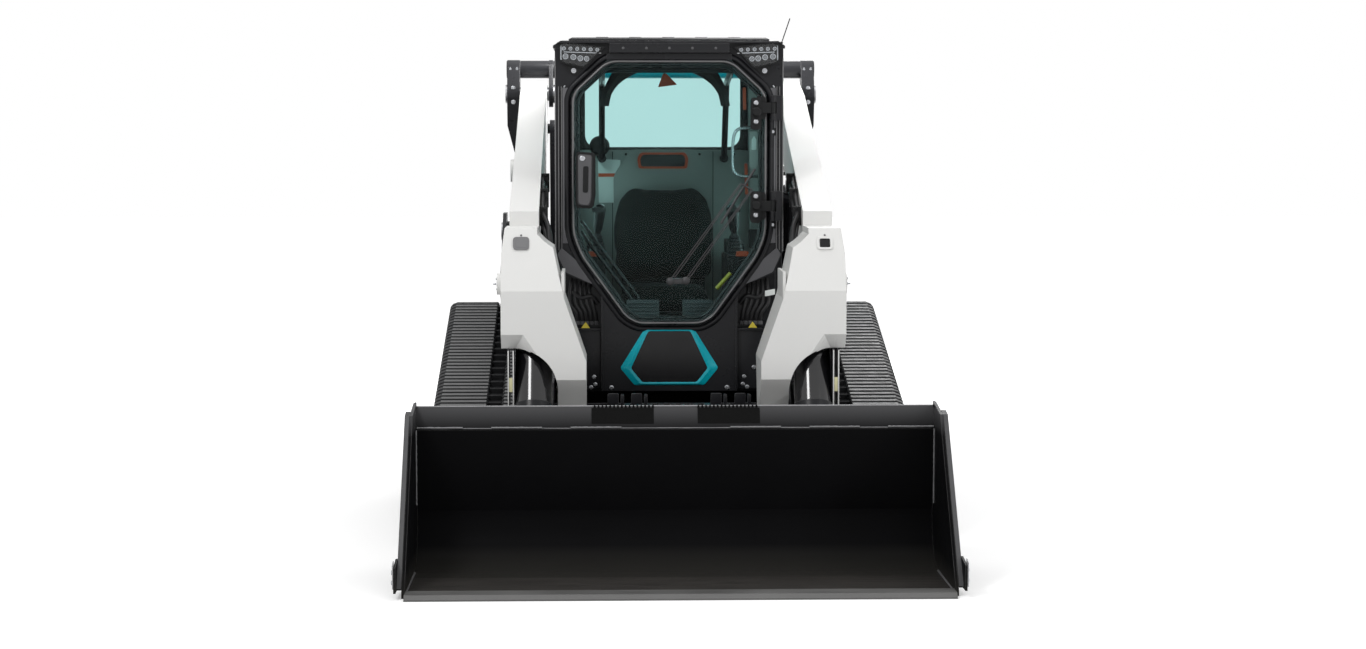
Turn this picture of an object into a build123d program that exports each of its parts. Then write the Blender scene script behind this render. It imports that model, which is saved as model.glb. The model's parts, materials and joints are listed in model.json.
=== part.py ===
"""Compact track loader with a vertical-path lift linkage, a glazed cab and a wide bucket.

Frame: +X is the machine's left, the bucket faces -Y, +Z is up.  The origin is on the ground under the
middle of the machine.  Stations are measured rearwards from the cutting edge; at() turns one into Y.
A side-view point is (station, z), a front-view point is (x, z).  All sizes are millimetres.
"""
import math
import os

from build123d import *

# ---------------------------------------------------------------- driving dimensions
overall_length = 3700.0          # cutting edge to tailgate
tail_depth = 70.0                # tailgate and its gap, behind the frame
frame_rear = overall_length - tail_depth
pin_gap = 0.4                    # radial clearance of every turning pivot
seat_gap = 0.3                   # fit of a fixed piece on its neighbour
side_gap = 6.0                   # sideways clearance between moving plates
open_gap = 2.5                   # radial clearance at a pivot where the linkage is opened

# tracks: the belt and its lugs, then the wheels as (station, rolling radius)
track_width = 450.0
track_gap = 40.0                 # between the belt and the frame's side plate
belt_thickness = 35.0
lug_height = 25.0
lug_pitch = 72.0
lug_share = 0.56
groove_width = 60.0              # plain band with the drive windows, inboard of the middle
front_idler_station, front_idler_radius = 1480.0, 190.0
sprocket_station, sprocket_radius, sprocket_z = frame_rear - 645, 203.0, 622.0
rear_idler_station, rear_idler_radius = sprocket_station - 80, 150.0
roller_radius, roller_count = 90.0, 5
roller_first, roller_last = 1740.0, rear_idler_station - 240

# main frame
frame_half_width = 500.0         # outer faces of the side plates
frame_plate = 16.0
belly_plate = 14.0
ground_clearance = 235.0
frame_front = 1500.0
deck_z = 640.0                   # top edge of the side plates beside the cab
tower_outer_x, tower_plate = 758.0, 18.0
fender_z, fender_plate = 905.0, 14.0

# linkage pivots, side view
link_foot = (frame_rear - 185, 1199.0)
link_head = (frame_rear - 372, 1860.0)
control_foot = (frame_rear - 193, 1092.0)
control_head = (frame_rear - 293, 1696.0)
lift_base = (frame_rear - 406, 1000.0)
lift_eye = (frame_rear - 730, 1501.0)
bucket_pin = (1000.0, 235.0)
tilt_base = (1260.0, 1070.0)
tilt_eye = (895.0, 335.0)
pivot_radius = 32.0
head_pin_radius = 24.0           # control link's upper pin
tilt_pin_radius = 28.0

# lanes, side by side: middle x and width
arm_x, arm_width, arm_plate = 600.0, 120.0, 16.0
link_x, link_width = 700.0, 60.0
control_x, control_width = 518.0, 24.0
tilt_x = 555.0
leg_x, leg_width = 403.0, 114.0
eye_width = 50.0
cross_tube_z, cross_tube_station, cross_tube_radius = 1978.0, frame_rear - 330, 42.0

# cylinders
lift_bore_radius, lift_rod_radius, lift_barrel_length = 50.0, 27.0, 480.0
tilt_bore_radius, tilt_rod_radius, tilt_barrel_length = 74.0, 35.0, 560.0
tilt_retract = 51.0              # how far the tilt rod runs in when the bucket rolls back

# bucket
bucket_half_width = 1012.0       # outer faces of the side plates
bucket_side_plate = 12.0
bucket_skin = 8.0
bucket_back_station = 770.0
bucket_height = 625.0
heel_radius = 200.0
edge_plate = 20.0
edge_depth = 110.0

# cab
cab_half_width = 478.0
cab_front, cab_rear = 1690.0, 2900.0
cab_wall = 28.0
cab_post = 60.0                  # depth of the front frame
door_post = 83.0                 # width of the pillar beside the door opening
cab_floor_z = 600.0
cab_height = 2065.0              # ground to roof
roof_thickness = 34.0
glass_thickness = 6.0
nose_half_width = 285.0
door_hinge_x, door_hinge_station = cab_half_width - 44, cab_front - 35

# rear body
hood_z = 1345.0
hood_plate = 14.0
body_half_width = 478.0
gate_gap = 12.0                  # between the frame and the closed tailgate
tailgate_front = frame_rear + gate_gap
tailgate_hinge_x, tailgate_hinge_station = -body_half_width - 17, overall_length - 10
tie_down_radius = 25.0           # lashing hole in each side plate of the frame


# ---------------------------------------------------------------- helpers
def at(station):
    """Y of a station measured rearwards from the cutting edge."""
    return station - overall_length / 2


def yz(points):
    """Side-view points as sketch points on Plane.YZ."""
    return [(at(station), z) for station, z in points]


def side_plate(points, x0, x1, radius=0.0, mode=Mode.ADD):
    """Extrudes a side-view outline between two x values, in the part being built."""
    with BuildSketch(Plane.YZ.offset(x0)) as outline:
        with BuildLine():
            Polyline(*yz(points), close=True)
        make_face()
        if radius:
            fillet(outline.vertices(), radius)
    extrude(outline.sketch, amount=x1 - x0, mode=mode)


def front_plate(points, station0, station1, radius=0.0, mode=Mode.ADD):
    """Extrudes a front-view outline between two stations, in the part being built."""
    with BuildSketch(Plane.XZ.offset(-at(station1))) as outline:
        with BuildLine():
            Polyline(*points, close=True)
        make_face()
        if radius:
            fillet(outline.vertices(), radius)
    extrude(outline.sketch, amount=station1 - station0, mode=mode)


def block(x0, x1, station0, station1, z0, z1, mode=Mode.ADD):
    """Axis-aligned box by its faces, in the part being built."""
    with Locations(((x0 + x1) / 2, at((station0 + station1) / 2), (z0 + z1) / 2)):
        Box(abs(x1 - x0), station1 - station0, z1 - z0, mode=mode)


def bar_x(pivot, radius, x0, x1, mode=Mode.ADD):
    """Round bar along X through a side-view point, in the part being built."""
    with Locations(Location(((x0 + x1) / 2, at(pivot[0]), pivot[1]), (0, 90, 0))):
        Cylinder(radius, abs(x1 - x0), mode=mode)


def bar_z(x, station, radius, z0, z1, mode=Mode.ADD):
    """Upright round bar, in the part being built."""
    with Locations((x, at(station), (z0 + z1) / 2)):
        Cylinder(radius, z1 - z0, mode=mode)


def bar_between(start, end, radius, mode=Mode.ADD):
    """Round bar between two (x, station, z) points, in the part being built."""
    a, b = (Vector(x, at(station), z) for x, station, z in (start, end))
    with BuildSketch(Plane(origin=a, z_dir=b - a)) as section:
        Circle(radius)
    extrude(section.sketch, amount=(b - a).length, mode=mode)


def strap(start, end, radius0, radius1, x0, x1, mode=Mode.ADD):
    """Plate with round ends on two side-view points, in the part being built."""
    span, bearing = math.dist(start, end), math.atan2(end[1] - start[1], end[0] - start[0])
    lean = math.acos((radius0 - radius1) / span)
    corners = [(centre[0] + radius * math.cos(bearing + side * lean),
                centre[1] + radius * math.sin(bearing + side * lean))
               for centre, radius, side in ((start, radius0, 1), (start, radius0, -1),
                                            (end, radius1, -1), (end, radius1, 1))]
    side_plate(corners, x0, x1, mode=mode)
    bar_x(start, radius0, x0, x1, mode=mode)
    bar_x(end, radius1, x0, x1, mode=mode)


def along(start, end, distance):
    """Side-view point at a distance from start on the way to end."""
    share = distance / math.dist(start, end)
    return (start[0] + (end[0] - start[0]) * share, start[1] + (end[1] - start[1]) * share)


def both_sides(points):
    """Half a front-view outline, given from end to end, closed by its mirror image."""
    return [*points, *[(-x, z) for x, z in reversed(points)]]


pieces = {}


def keep(name, solid):
    """Registers a finished piece under its node name."""
    pieces[name] = solid


def keep_pair(name, left):
    """Registers a piece of the left side and its mirror image."""
    keep(name + "_left", left)
    keep(name + "_right", mirror(left, about=Plane.YZ))


# ---------------------------------------------------------------- belt path
ground_z = belt_thickness + lug_height
wheels = (  # station, height, rolling radius, in order round the loop
    (front_idler_station, ground_z + front_idler_radius, front_idler_radius),
    (rear_idler_station, ground_z + rear_idler_radius, rear_idler_radius),
    (sprocket_station, sprocket_z, sprocket_radius),
)


def on_circle(wheel, angle):
    return (wheel[0] + wheel[2] * math.cos(angle), wheel[1] + wheel[2] * math.sin(angle))


def belt_runs(offset):
    """Straight runs of the loop at an offset outside the rolling line: normal, turn after it, two wheels."""
    runs = []
    for first, last in zip(wheels, wheels[1:] + wheels[:1]):
        bearing = math.atan2(last[1] - first[1], last[0] - first[0])
        lean = math.acos((first[2] - last[2]) / math.dist(first[:2], last[:2]))
        runs.append((bearing - lean, (*first[:2], first[2] + offset), (*last[:2], last[2] + offset)))
    turns = [(following[0] - run[0]) % (2 * math.pi) for run, following in zip(runs, runs[1:] + runs[:1])]
    return [(normal, turn, first, last) for (normal, first, last), turn in zip(runs, turns)]


def loop_edges(offset):
    """Lines and arcs of the smooth loop, inside the line being built."""
    for normal, turn, first, last in belt_runs(offset):
        Line(*yz([on_circle(first, normal), on_circle(last, normal)]))
        ThreePointArc(*yz([on_circle(last, normal + turn * share) for share in (0, 0.5, 1)]))


belt_length = sum(math.dist(on_circle(first, normal), on_circle(last, normal)) + turn * last[2]
                  for normal, turn, first, last in belt_runs(0))


def belt_point(distance, offset):
    """Point at a distance along the rolling line, pushed outwards by an offset."""
    distance %= belt_length
    for normal, turn, first, last in belt_runs(0):
        start, end = on_circle(first, normal), on_circle(last, normal)
        length = math.dist(start, end)
        if distance <= length:
            base = along(start, end, distance)
            return (base[0] + offset * math.cos(normal), base[1] + offset * math.sin(normal))
        distance -= length
        if distance <= turn * last[2]:
            return on_circle((last[0], last[1], last[2] + offset), normal + distance / last[2])
        distance -= turn * last[2]
    return on_circle((*last[:2], last[2] + offset), normal + turn)


def lug_corners(phase):
    """Outer outline of the belt with its lugs, shifted by a share of the pitch."""
    count = round(belt_length / lug_pitch)
    pitch = belt_length / count
    width, slope = pitch * lug_share, pitch * 0.06
    corners = ((0, 0), (slope, lug_height), (width - slope, lug_height), (width, 0))
    return [belt_point((i + phase) * pitch + run, belt_thickness + rise)
            for i in range(count) for run, rise in corners]


track_inner_x = frame_half_width + track_gap
track_outer_x = track_inner_x + track_width
track_mid_x = (track_inner_x + track_outer_x) / 2
groove_outer_x = track_mid_x
groove_inner_x = groove_outer_x - groove_width

with BuildPart() as belt:
    for x0, x1, phase in ((track_inner_x, groove_inner_x, 0.5), (groove_outer_x, track_outer_x, 0.0)):
        side_plate(lug_corners(phase), x0, x1)
    with BuildSketch(Plane.YZ.offset(groove_inner_x)) as band:
        with BuildLine():
            loop_edges(belt_thickness)
        make_face()
    extrude(band.sketch, amount=groove_width)
    with BuildSketch(Plane.YZ.offset(track_inner_x)) as inside:
        with BuildLine():
            loop_edges(0)
        make_face()
    extrude(inside.sketch, amount=track_width, mode=Mode.SUBTRACT)
keep_pair("track_belt", belt.part)


# ---------------------------------------------------------------- undercarriage
channel_half = 118.0             # half width of a track frame
channel_plate = 14.0
wheel_half = channel_half - channel_plate - seat_gap
rim_half_gap = 30.0


def wheel(station, z, radius, hub_radius):
    """Idler or roller turned about X: two rims with a waist between them."""
    rim = wheel_half - 14
    half = [(wheel_half, 0), (wheel_half, hub_radius), (rim, radius - 22), (rim, radius),
            (rim_half_gap, radius), (rim_half_gap, radius * 0.8)]
    with BuildSketch() as section:
        with BuildLine():
            Polyline(*half, *[(-x, r) for x, r in reversed(half)], close=True)
        make_face()
    with Locations((track_mid_x, at(station), z)):
        add(revolve(section.sketch, axis=Axis.X, mode=Mode.PRIVATE))


roller_pitch = (roller_last - roller_first) / (roller_count - 1)
wheel_table = [  # station, height, radius, hub radius
    (*wheels[0][:2], front_idler_radius - seat_gap, 70.0),
    (*wheels[1][:2], rear_idler_radius - seat_gap, 60.0),
    *[(roller_first + i * roller_pitch, ground_z + roller_radius, roller_radius - seat_gap, 42.0)
      for i in range(roller_count)]]
with BuildPart() as track_wheels:
    for row in wheel_table:
        wheel(*row)
    mirror(about=Plane.YZ)
keep("track_wheels", track_wheels.part)

skirt_bottom_z = ground_z + roller_radius - 30
channel_outline = [
    (front_idler_station - 55, 205), (front_idler_station + 60, 205), (1590, skirt_bottom_z),
    (rear_idler_station - 135, skirt_bottom_z), (rear_idler_station - 65, 160),
    (rear_idler_station + 50, 165), (rear_idler_station + 50, 265), (rear_idler_station - 115, 405),
    (2300, 440), (1720, 390), (front_idler_station + 90, 300), (front_idler_station - 55, 300)]
channel_hollow = [
    (front_idler_station - 200, 0), (rear_idler_station + 200, 0), (rear_idler_station + 200, 600),
    (rear_idler_station - 105, 600), (rear_idler_station - 255, 330), (1760, 300), (1705, 600),
    (front_idler_station - 200, 600)]
channel_inner = channel_half - channel_plate
with BuildPart() as track_frame:
    side_plate(channel_outline, track_mid_x - channel_half, track_mid_x + channel_half, 18)
    side_plate(channel_hollow, track_mid_x - channel_inner, track_mid_x + channel_inner,
               mode=Mode.SUBTRACT)
    mirror(about=Plane.YZ)
keep("track_frames", track_frame.part)

# final drive: motor housing, gear case and cap; the sprocket is clamped on its flange
disc_half = 26.0
hub_cap_radius = 84.0
drive_steps = (  # inner x, outer x, radius
    (frame_half_width, frame_half_width + 60, 128.0),
    (frame_half_width + 60, track_mid_x - 70, 112.0),
    (track_mid_x - 70, track_mid_x - disc_half, 132.0),
    (track_mid_x - disc_half, track_mid_x + 62, hub_cap_radius))
with BuildPart() as final_drive:
    for x0, x1, radius in drive_steps:
        bar_x((sprocket_station, sprocket_z), radius, x0, x1)
    fillet(final_drive.faces().sort_by(Axis.X)[-1].edges(), 12)
    mirror(about=Plane.YZ)
keep("final_drives", final_drive.part)

tooth_count, tooth_gap_radius = 15, 25.0
with BuildPart() as sprocket:
    with BuildSketch(Plane.YZ.offset(track_mid_x - disc_half)) as disc:
        with Locations((at(sprocket_station), sprocket_z)):
            Circle(sprocket_radius - 4)
            Circle(hub_cap_radius + seat_gap, mode=Mode.SUBTRACT)
            with PolarLocations(sprocket_radius + 6, tooth_count):
                Circle(tooth_gap_radius, mode=Mode.SUBTRACT)
    extrude(disc.sketch, amount=2 * disc_half)
    mirror(about=Plane.YZ)
keep("drive_sprockets", sprocket.part)


# ---------------------------------------------------------------- main frame
inner_half = frame_half_width - frame_plate
beam_stations = (1900.0, frame_rear - 1030)
beam_half, flange = 58.0, 24.0
side_outline = [
    (frame_front, 330), (1600, ground_clearance), (frame_rear - 430, ground_clearance),
    (frame_rear - 70, 420), (frame_rear, 520), (frame_rear, 1150), (frame_rear - 90, 1300),
    (frame_rear - 240, 1300),
    (frame_rear - 570, 1120), (frame_rear - 705, 1120), (frame_rear - 730, deck_z + 60),
    (frame_rear - 770, deck_z), (1570, deck_z), (frame_front, 570)]
tie_down = (frame_rear - 95, 560.0)
with BuildPart() as frame_side:
    side_plate(side_outline, inner_half, frame_half_width, 25)
    bar_x(control_foot, pivot_radius + seat_gap, inner_half - 20, frame_half_width + 20, mode=Mode.SUBTRACT)
    bar_x(tie_down, tie_down_radius, inner_half - 20, frame_half_width + 20, mode=Mode.SUBTRACT)
    # cross beams out to the track frame, on their flanges
    for station in beam_stations:
        block(frame_half_width, track_mid_x - channel_half, station - beam_half, station + beam_half,
              262, 372)
        block(frame_half_width, frame_half_width + 22, station - beam_half - flange,
              station + beam_half + flange, 250, 420)
    mirror(about=Plane.YZ)
keep("frame_sides", frame_side.part)

trough_outline = [(frame_front, 560), (frame_front, 330), (1600, ground_clearance),
                  (frame_rear - 430, ground_clearance), (frame_rear - 70, 420), (frame_rear, 520),
                  (frame_rear, 560)]
trough_hollow = [(frame_front + belly_plate, 580), (frame_front + belly_plate, 337),
                 (1604, ground_clearance + belly_plate), (frame_rear - 434, ground_clearance + belly_plate),
                 (frame_rear - 78, 432), (frame_rear - belly_plate, 528), (frame_rear - belly_plate, 580)]
bulkhead_front = cab_rear + 18
hood_hinge = (bulkhead_front + 10, hood_z - 7)
hood_hinge_x, knuckle_width = (290.0, 351.0), 30.0      # fixed knuckles; the moving one sits between them
with BuildPart() as belly:
    side_plate(trough_outline, -inner_half, inner_half)
    side_plate(trough_hollow, -inner_half, inner_half, mode=Mode.SUBTRACT)
    # bulkhead between the cab and the rear body
    block(-inner_half, inner_half, bulkhead_front, bulkhead_front + 12, ground_clearance, 1110)
    for x0 in hood_hinge_x:
        for side in (1, -1):
            block(side * x0, side * (x0 + knuckle_width), bulkhead_front, bulkhead_front + 12, 1100,
                  hood_hinge[1])
            bar_x(hood_hinge, 10, side * x0, side * (x0 + knuckle_width))
keep("belly_pan", belly.part)

# towers: outer plate, floor over the belt, rear cheek, inner plate and the two lugs of the lift cylinder
link_x0, link_x1 = link_x - link_width / 2, link_x + link_width / 2
foot_x1 = link_x1 - 33           # the rear link is narrower at its foot
tower_inner_x = tower_outer_x - tower_plate
cheek_rear = frame_rear - 25
post_x0 = link_x0 - 28                        # inner plate, just inboard of the rear link
post_x1 = post_x0 + 16
lift_lug = 16.0
lug_x0, lug_radius = arm_x - eye_width / 2 - 11 - lift_lug, pivot_radius + 16
tower_outline = [(frame_rear - 670, fender_z), (frame_rear, fender_z), (frame_rear, 1130),
                 (frame_rear - 90, 1290), (frame_rear - 240, 1290), (frame_rear - 510, 1100),
                 (frame_rear - 670, 1010)]
post_outline = [(frame_rear - 260, fender_z + 10), (cheek_rear - 5, fender_z + 10), (cheek_rear - 5, 1100),
                (frame_rear - 110, 1262), (frame_rear - 230, 1262), (frame_rear - 260, 1180)]
with BuildPart() as tower:
    side_plate(tower_outline, tower_inner_x, tower_outer_x, 25)
    block(frame_half_width, tower_inner_x, frame_rear - 645, cheek_rear, fender_z, fender_z + fender_plate)
    block(frame_half_width, tower_inner_x, cheek_rear - 14, cheek_rear, fender_z + fender_plate, 1080)
    side_plate(post_outline, post_x0, post_x1)
    bar_x(link_foot, pivot_radius + 18, foot_x1 + side_gap, tower_inner_x)
    for x0 in (lug_x0, 2 * arm_x - lug_x0 - lift_lug):
        block(x0, x0 + lift_lug, lift_base[0] - lug_radius, lift_base[0] + lug_radius, fender_z + 10,
              lift_base[1])
        bar_x(lift_base, lug_radius, x0, x0 + lift_lug)
    bar_x(link_foot, pivot_radius + seat_gap, post_x0 - 20, tower_outer_x + 20, mode=Mode.SUBTRACT)
    bar_x(control_foot, pivot_radius + seat_gap, post_x0 - 20, post_x1 + 20, mode=Mode.SUBTRACT)
    bar_x(lift_base, pivot_radius + seat_gap, lug_x0 - 10, 2 * arm_x - lug_x0 + 10, mode=Mode.SUBTRACT)
    mirror(about=Plane.YZ)
keep("towers", tower.part)

# rear lamps on the cheeks, with a bezel round a lens
lamp_x0, lamp_x1, lamp_z0, lamp_z1 = 545.0, 620.0, 945.0, 1055.0
lamp_rim, lamp_depth = 10.0, 18.0
with BuildPart() as rear_lamps:
    block(lamp_x0, lamp_x1, cheek_rear, cheek_rear + lamp_depth, lamp_z0, lamp_z1)
    fillet(rear_lamps.edges().filter_by(Axis.Y), 12)
    block(lamp_x0 + lamp_rim, lamp_x1 - lamp_rim, cheek_rear + lamp_depth - 4, cheek_rear + lamp_depth,
          lamp_z0 + lamp_rim, lamp_z1 - lamp_rim, mode=Mode.SUBTRACT)
    mirror(about=Plane.YZ)
keep("rear_lamps", rear_lamps.part)

head_rim, head_thickness = 12.0, 10.0          # a pin's head: how far it stands out, and its thickness
pin_table = (  # pivot, inner end, outer end, inner head
    (link_foot, post_x0, tower_outer_x, True),
    (control_foot, inner_half, post_x1, False),
    (lift_base, lug_x0, 2 * arm_x - lug_x0, True))
with BuildPart() as frame_pins:
    for pivot, x0, x1, inner_head in pin_table:
        bar_x(pivot, pivot_radius, x0 - seat_gap, x1 + seat_gap)
        bar_x(pivot, pivot_radius + head_rim, x1 + seat_gap, x1 + seat_gap + head_thickness)
        if inner_head:
            bar_x(pivot, pivot_radius + head_rim, x0 - seat_gap - head_thickness, x0 - seat_gap)
    mirror(about=Plane.YZ)
keep("frame_pins", frame_pins.part)


# ---------------------------------------------------------------- rear linkage
cross_tube = (cross_tube_station, cross_tube_z)
ear_x0, ear_plate = control_x - 6, 20.0         # inner ear of the pivot with the lift arm
head_radius, clamp_radius = pivot_radius + 30, cross_tube_radius + 3
with BuildPart() as link_leg:
    strap(link_foot, link_head, pivot_radius + 28, head_radius, link_x0, link_x1)
    # the outer face runs in towards the foot
    front_plate([(link_x1, link_head[1] - 150), (foot_x1, link_head[1] - 280), (foot_x1, link_foot[1] - 80),
                 (link_x1 + 10, link_foot[1] - 80), (link_x1 + 10, link_head[1] - 150)],
                link_head[0] - 200, link_foot[0] + 200, mode=Mode.SUBTRACT)
    for x0, x1 in ((link_x0, link_x1), (ear_x0, ear_x0 + ear_plate)):
        strap(link_head, cross_tube, head_radius, clamp_radius, x0, x1)
    bar_x(cross_tube, cross_tube_radius, ear_x0 - 30, link_x1 + 4)
    bar_x(link_foot, pivot_radius + pin_gap, link_x0 - 10, link_x1 + 10, mode=Mode.SUBTRACT)
    bar_x(link_head, pivot_radius + seat_gap, ear_x0 - 10, link_x1 + 10, mode=Mode.SUBTRACT)
    mirror(about=Plane.YZ)
keep("rear_link_legs", link_leg.part)

with BuildPart() as link_tube:
    bar_x(cross_tube, cross_tube_radius, 30 - ear_x0, ear_x0 - 30)
keep("cross_tube", link_tube.part)

with BuildPart() as link_pins:
    bar_x(link_head, pivot_radius, ear_x0 - seat_gap, link_x1 + seat_gap)
    bar_x(link_head, pivot_radius + head_rim, ear_x0 - seat_gap - 8, ear_x0 - seat_gap)
    bar_x(link_head, pivot_radius + head_rim, link_x1 + seat_gap, link_x1 + seat_gap + 8)
    mirror(about=Plane.YZ)
keep("rear_link_pins", link_pins.part)

control_x0, control_x1 = control_x - control_width / 2, control_x + control_width / 2
with BuildPart() as control_links:
    strap(control_foot, control_head, pivot_radius + 16, head_pin_radius + 18, control_x0, control_x1)
    bar_x(control_foot, pivot_radius + pin_gap, control_x0 - 10, control_x1 + 10, mode=Mode.SUBTRACT)
    bar_x(control_head, head_pin_radius, control_x1, arm_x - arm_width / 2 + arm_plate)
    mirror(about=Plane.YZ)
keep("control_links", control_links.part)


# ---------------------------------------------------------------- lift arms
arm_x0, arm_x1 = arm_x - arm_width / 2, arm_x + arm_width / 2
boot_rear = 1400.0
boot_top_z = 1300.0
arm_end_radius = pivot_radius + 29
eye_housing = 44.0
beam_outline = [(link_head[0], link_head[1] + arm_end_radius), (frame_rear - 730, 1850), (boot_rear, 1358),
                (boot_rear, 1150), (frame_rear - 880, 1600), (frame_rear - 450, 1800)]
gusset_outline = [(frame_rear - 330, 1850), (frame_rear - 238, 1700), (frame_rear - 285, 1640),
                  (frame_rear - 550, 1590), (frame_rear - 672, 1470), (frame_rear - 730, 1440),
                  (frame_rear - 788, 1478), (frame_rear - 840, 1650), (frame_rear - 640, 1780)]
with BuildPart() as arm:
    side_plate(beam_outline, arm_x0, arm_x1)
    bar_x(link_head, arm_end_radius, arm_x0, arm_x1)
    for x0 in (arm_x0, arm_x1 - arm_plate):
        side_plate(gusset_outline, x0, x0 + arm_plate, 20)
    # housing of the lift cylinder's upper pin, outside the gussets
    bar_x(lift_eye, pivot_radius + 20, arm_x1, arm_x1 + eye_housing)
    bar_x(link_head, pivot_radius + pin_gap, arm_x0 - 10, arm_x1 + 10, mode=Mode.SUBTRACT)
    bar_x(control_head, head_pin_radius + open_gap, arm_x0 - 10, arm_x0 + arm_plate + 10,
          mode=Mode.SUBTRACT)
keep_pair("lift_arm", arm.part)

# boot: the box-section elbow that carries the leg, with a cavity for the tilt cylinder.  Its front is
# creased where it leans back, bent under at the outer corner, and arched over the cylinder
leg_x0, leg_x1 = leg_x - leg_width / 2, leg_x + leg_width / 2
boot_outer_x, boot_face, boot_plate = 683.0, 990.0, 16.0
boot_hem_z, boot_crease_z = 826.0, 1056.0
cavity_x0, cavity_x1 = tilt_x - tilt_bore_radius - side_gap, tilt_x + tilt_bore_radius + side_gap
arch_start, arch_middle, arch_end = (610, boot_hem_z), (512, boot_hem_z - 43), (leg_x1, boot_hem_z - 186)
boot_side = [(boot_face + 120, boot_top_z), (boot_face, boot_crease_z), (boot_face, 705), (1085, 590),
             (1070, 430), (930, 235), (930, 160), (1045, 160), (1220, 430), (1360, 800), (boot_rear, 1060),
             (boot_rear, boot_top_z)]
hem_crease = [(boot_outer_x + 150, boot_hem_z + 58), (595, boot_hem_z + 58), (488, boot_hem_z - 100),
              (488, boot_hem_z - 260), (boot_outer_x + 150, boot_hem_z - 260)]
with BuildPart() as boot:
    with BuildSketch(Plane.XZ.offset(-at(boot_rear + 50))) as boot_front:
        with BuildLine():
            Polyline(arch_end, (leg_x1, 100), (leg_x0, 100), (leg_x0, 777), (432, 1024), (456, 1127),
                     (476, 1223), (509, 1246), (arm_x0, 1276), (arm_x0, boot_top_z + 50),
                     (arm_x1 + 10, boot_top_z + 50), (arm_x1 + 10, boot_top_z), (boot_outer_x, 1200),
                     (boot_outer_x, boot_hem_z), arch_start)
            ThreePointArc(arch_start, arch_middle, arch_end)
        make_face()
    extrude(boot_front.sketch, amount=boot_rear + 50 - 850)
    side_plate(boot_side, 300, boot_outer_x + 10, mode=Mode.INTERSECT)
    # the hem: a facet that leans back below its crease
    with BuildSketch(Plane.XZ.offset(-at(boot_face))) as hem:
        with BuildLine():
            Polyline(*hem_crease, close=True)
        make_face()
    extrude(hem.sketch, amount=-60, taper=45, mode=Mode.SUBTRACT)
    # upright edge of the inner plate
    side_plate([(boot_face + 20, 1000), (boot_face + 20, 1130), (1320, 1130), (1320, 1000)], 432, 444)
    bar_x(bucket_pin, pivot_radius + 38, leg_x0, leg_x1)
    block(cavity_x0, cavity_x1, boot_face + boot_plate, 1345, 600, 1040, mode=Mode.SUBTRACT)
    block(tilt_x - 40, tilt_x + 40, 1180, 1345, 1030, 1150, mode=Mode.SUBTRACT)
    bar_x(bucket_pin, pivot_radius + pin_gap, leg_x0 - 10, leg_x1 + 10, mode=Mode.SUBTRACT)
    bar_x(tilt_base, tilt_pin_radius + seat_gap, tilt_x - 80, boot_outer_x + 10, mode=Mode.SUBTRACT)
keep_pair("boot", boot.part)

with BuildPart() as boot_pins:
    bar_x(tilt_base, tilt_pin_radius, tilt_x - 75, boot_outer_x + 4)
    bar_x(tilt_base, tilt_pin_radius + 15, boot_outer_x + seat_gap, boot_outer_x + 24)
    mirror(about=Plane.YZ)
keep("boot_pins", boot_pins.part)

# cross member between the legs with a serrated tread
cross_outline = [(1100, 470), (1190, 470), (1190, 575), (1100, 575)]
tread_z, tread_pitch = 592.0, 46.0
with BuildPart() as cross_member:
    side_plate(cross_outline, -leg_x0, leg_x0)
    block(-230, 230, 1102, 1188, 575, tread_z)
    with Locations((0, at(1145), tread_z)):
        with GridLocations(tread_pitch, 1, 10, 1):
            Box(tread_pitch / 2, 60, 16, mode=Mode.SUBTRACT)
keep("cross_member", cross_member.part)


# ---------------------------------------------------------------- cylinders
def bore_bottom(radius):
    """Distance from the base pivot to the bottom of a barrel's bore."""
    return radius * 1.35 + 25


def cylinder_barrel(base, eye, x, radius, length, bore_radius, pin_radius, width):
    """Barrel with its eye on a side-view pivot and a bore for the rod."""
    neck, gland = along(base, eye, radius * 1.35), along(base, eye, length)
    strap(base, neck, pin_radius + 16, pin_radius + 14, x - width / 2, x + width / 2)
    bar_between((x, *neck), (x, *gland), radius)
    bar_between((x, *along(base, eye, length - 30)), (x, *along(base, eye, length + 14)), radius - 6)
    bar_between((x, *along(base, eye, bore_bottom(radius))), (x, *along(base, eye, length + 40)),
                bore_radius, mode=Mode.SUBTRACT)
    bar_x(base, pin_radius + pin_gap, x - width, x + width, mode=Mode.SUBTRACT)


def cylinder_rod(base, eye, x, radius, start, eye_radius, width, pin_half):
    """Rod from a distance along the cylinder to its eye, which carries its own pin."""
    bar_between((x, *along(base, eye, start)), (x, *eye), radius)
    bar_x(eye, eye_radius, x - width / 2, x + width / 2)
    bar_x(eye, eye_radius * 0.5, x - pin_half, x + pin_half)


with BuildPart() as lift_barrels:
    cylinder_barrel(lift_base, lift_eye, arm_x, lift_bore_radius, lift_barrel_length,
                    lift_rod_radius + pin_gap, pivot_radius, eye_width)
    mirror(about=Plane.YZ)
keep("lift_barrels", lift_barrels.part)
with BuildPart() as lift_rods:
    cylinder_rod(lift_base, lift_eye, arm_x, lift_rod_radius, bore_bottom(lift_bore_radius) + side_gap, 46,
                 eye_width, arm_width / 2 - arm_plate - side_gap)
    mirror(about=Plane.YZ)
keep("lift_rods", lift_rods.part)

with BuildPart() as tilt_barrels:
    cylinder_barrel(tilt_base, tilt_eye, tilt_x, tilt_bore_radius, tilt_barrel_length,
                    tilt_rod_radius + pin_gap, tilt_pin_radius, 60)
    mirror(about=Plane.YZ)
keep("tilt_barrels", tilt_barrels.part)

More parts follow.
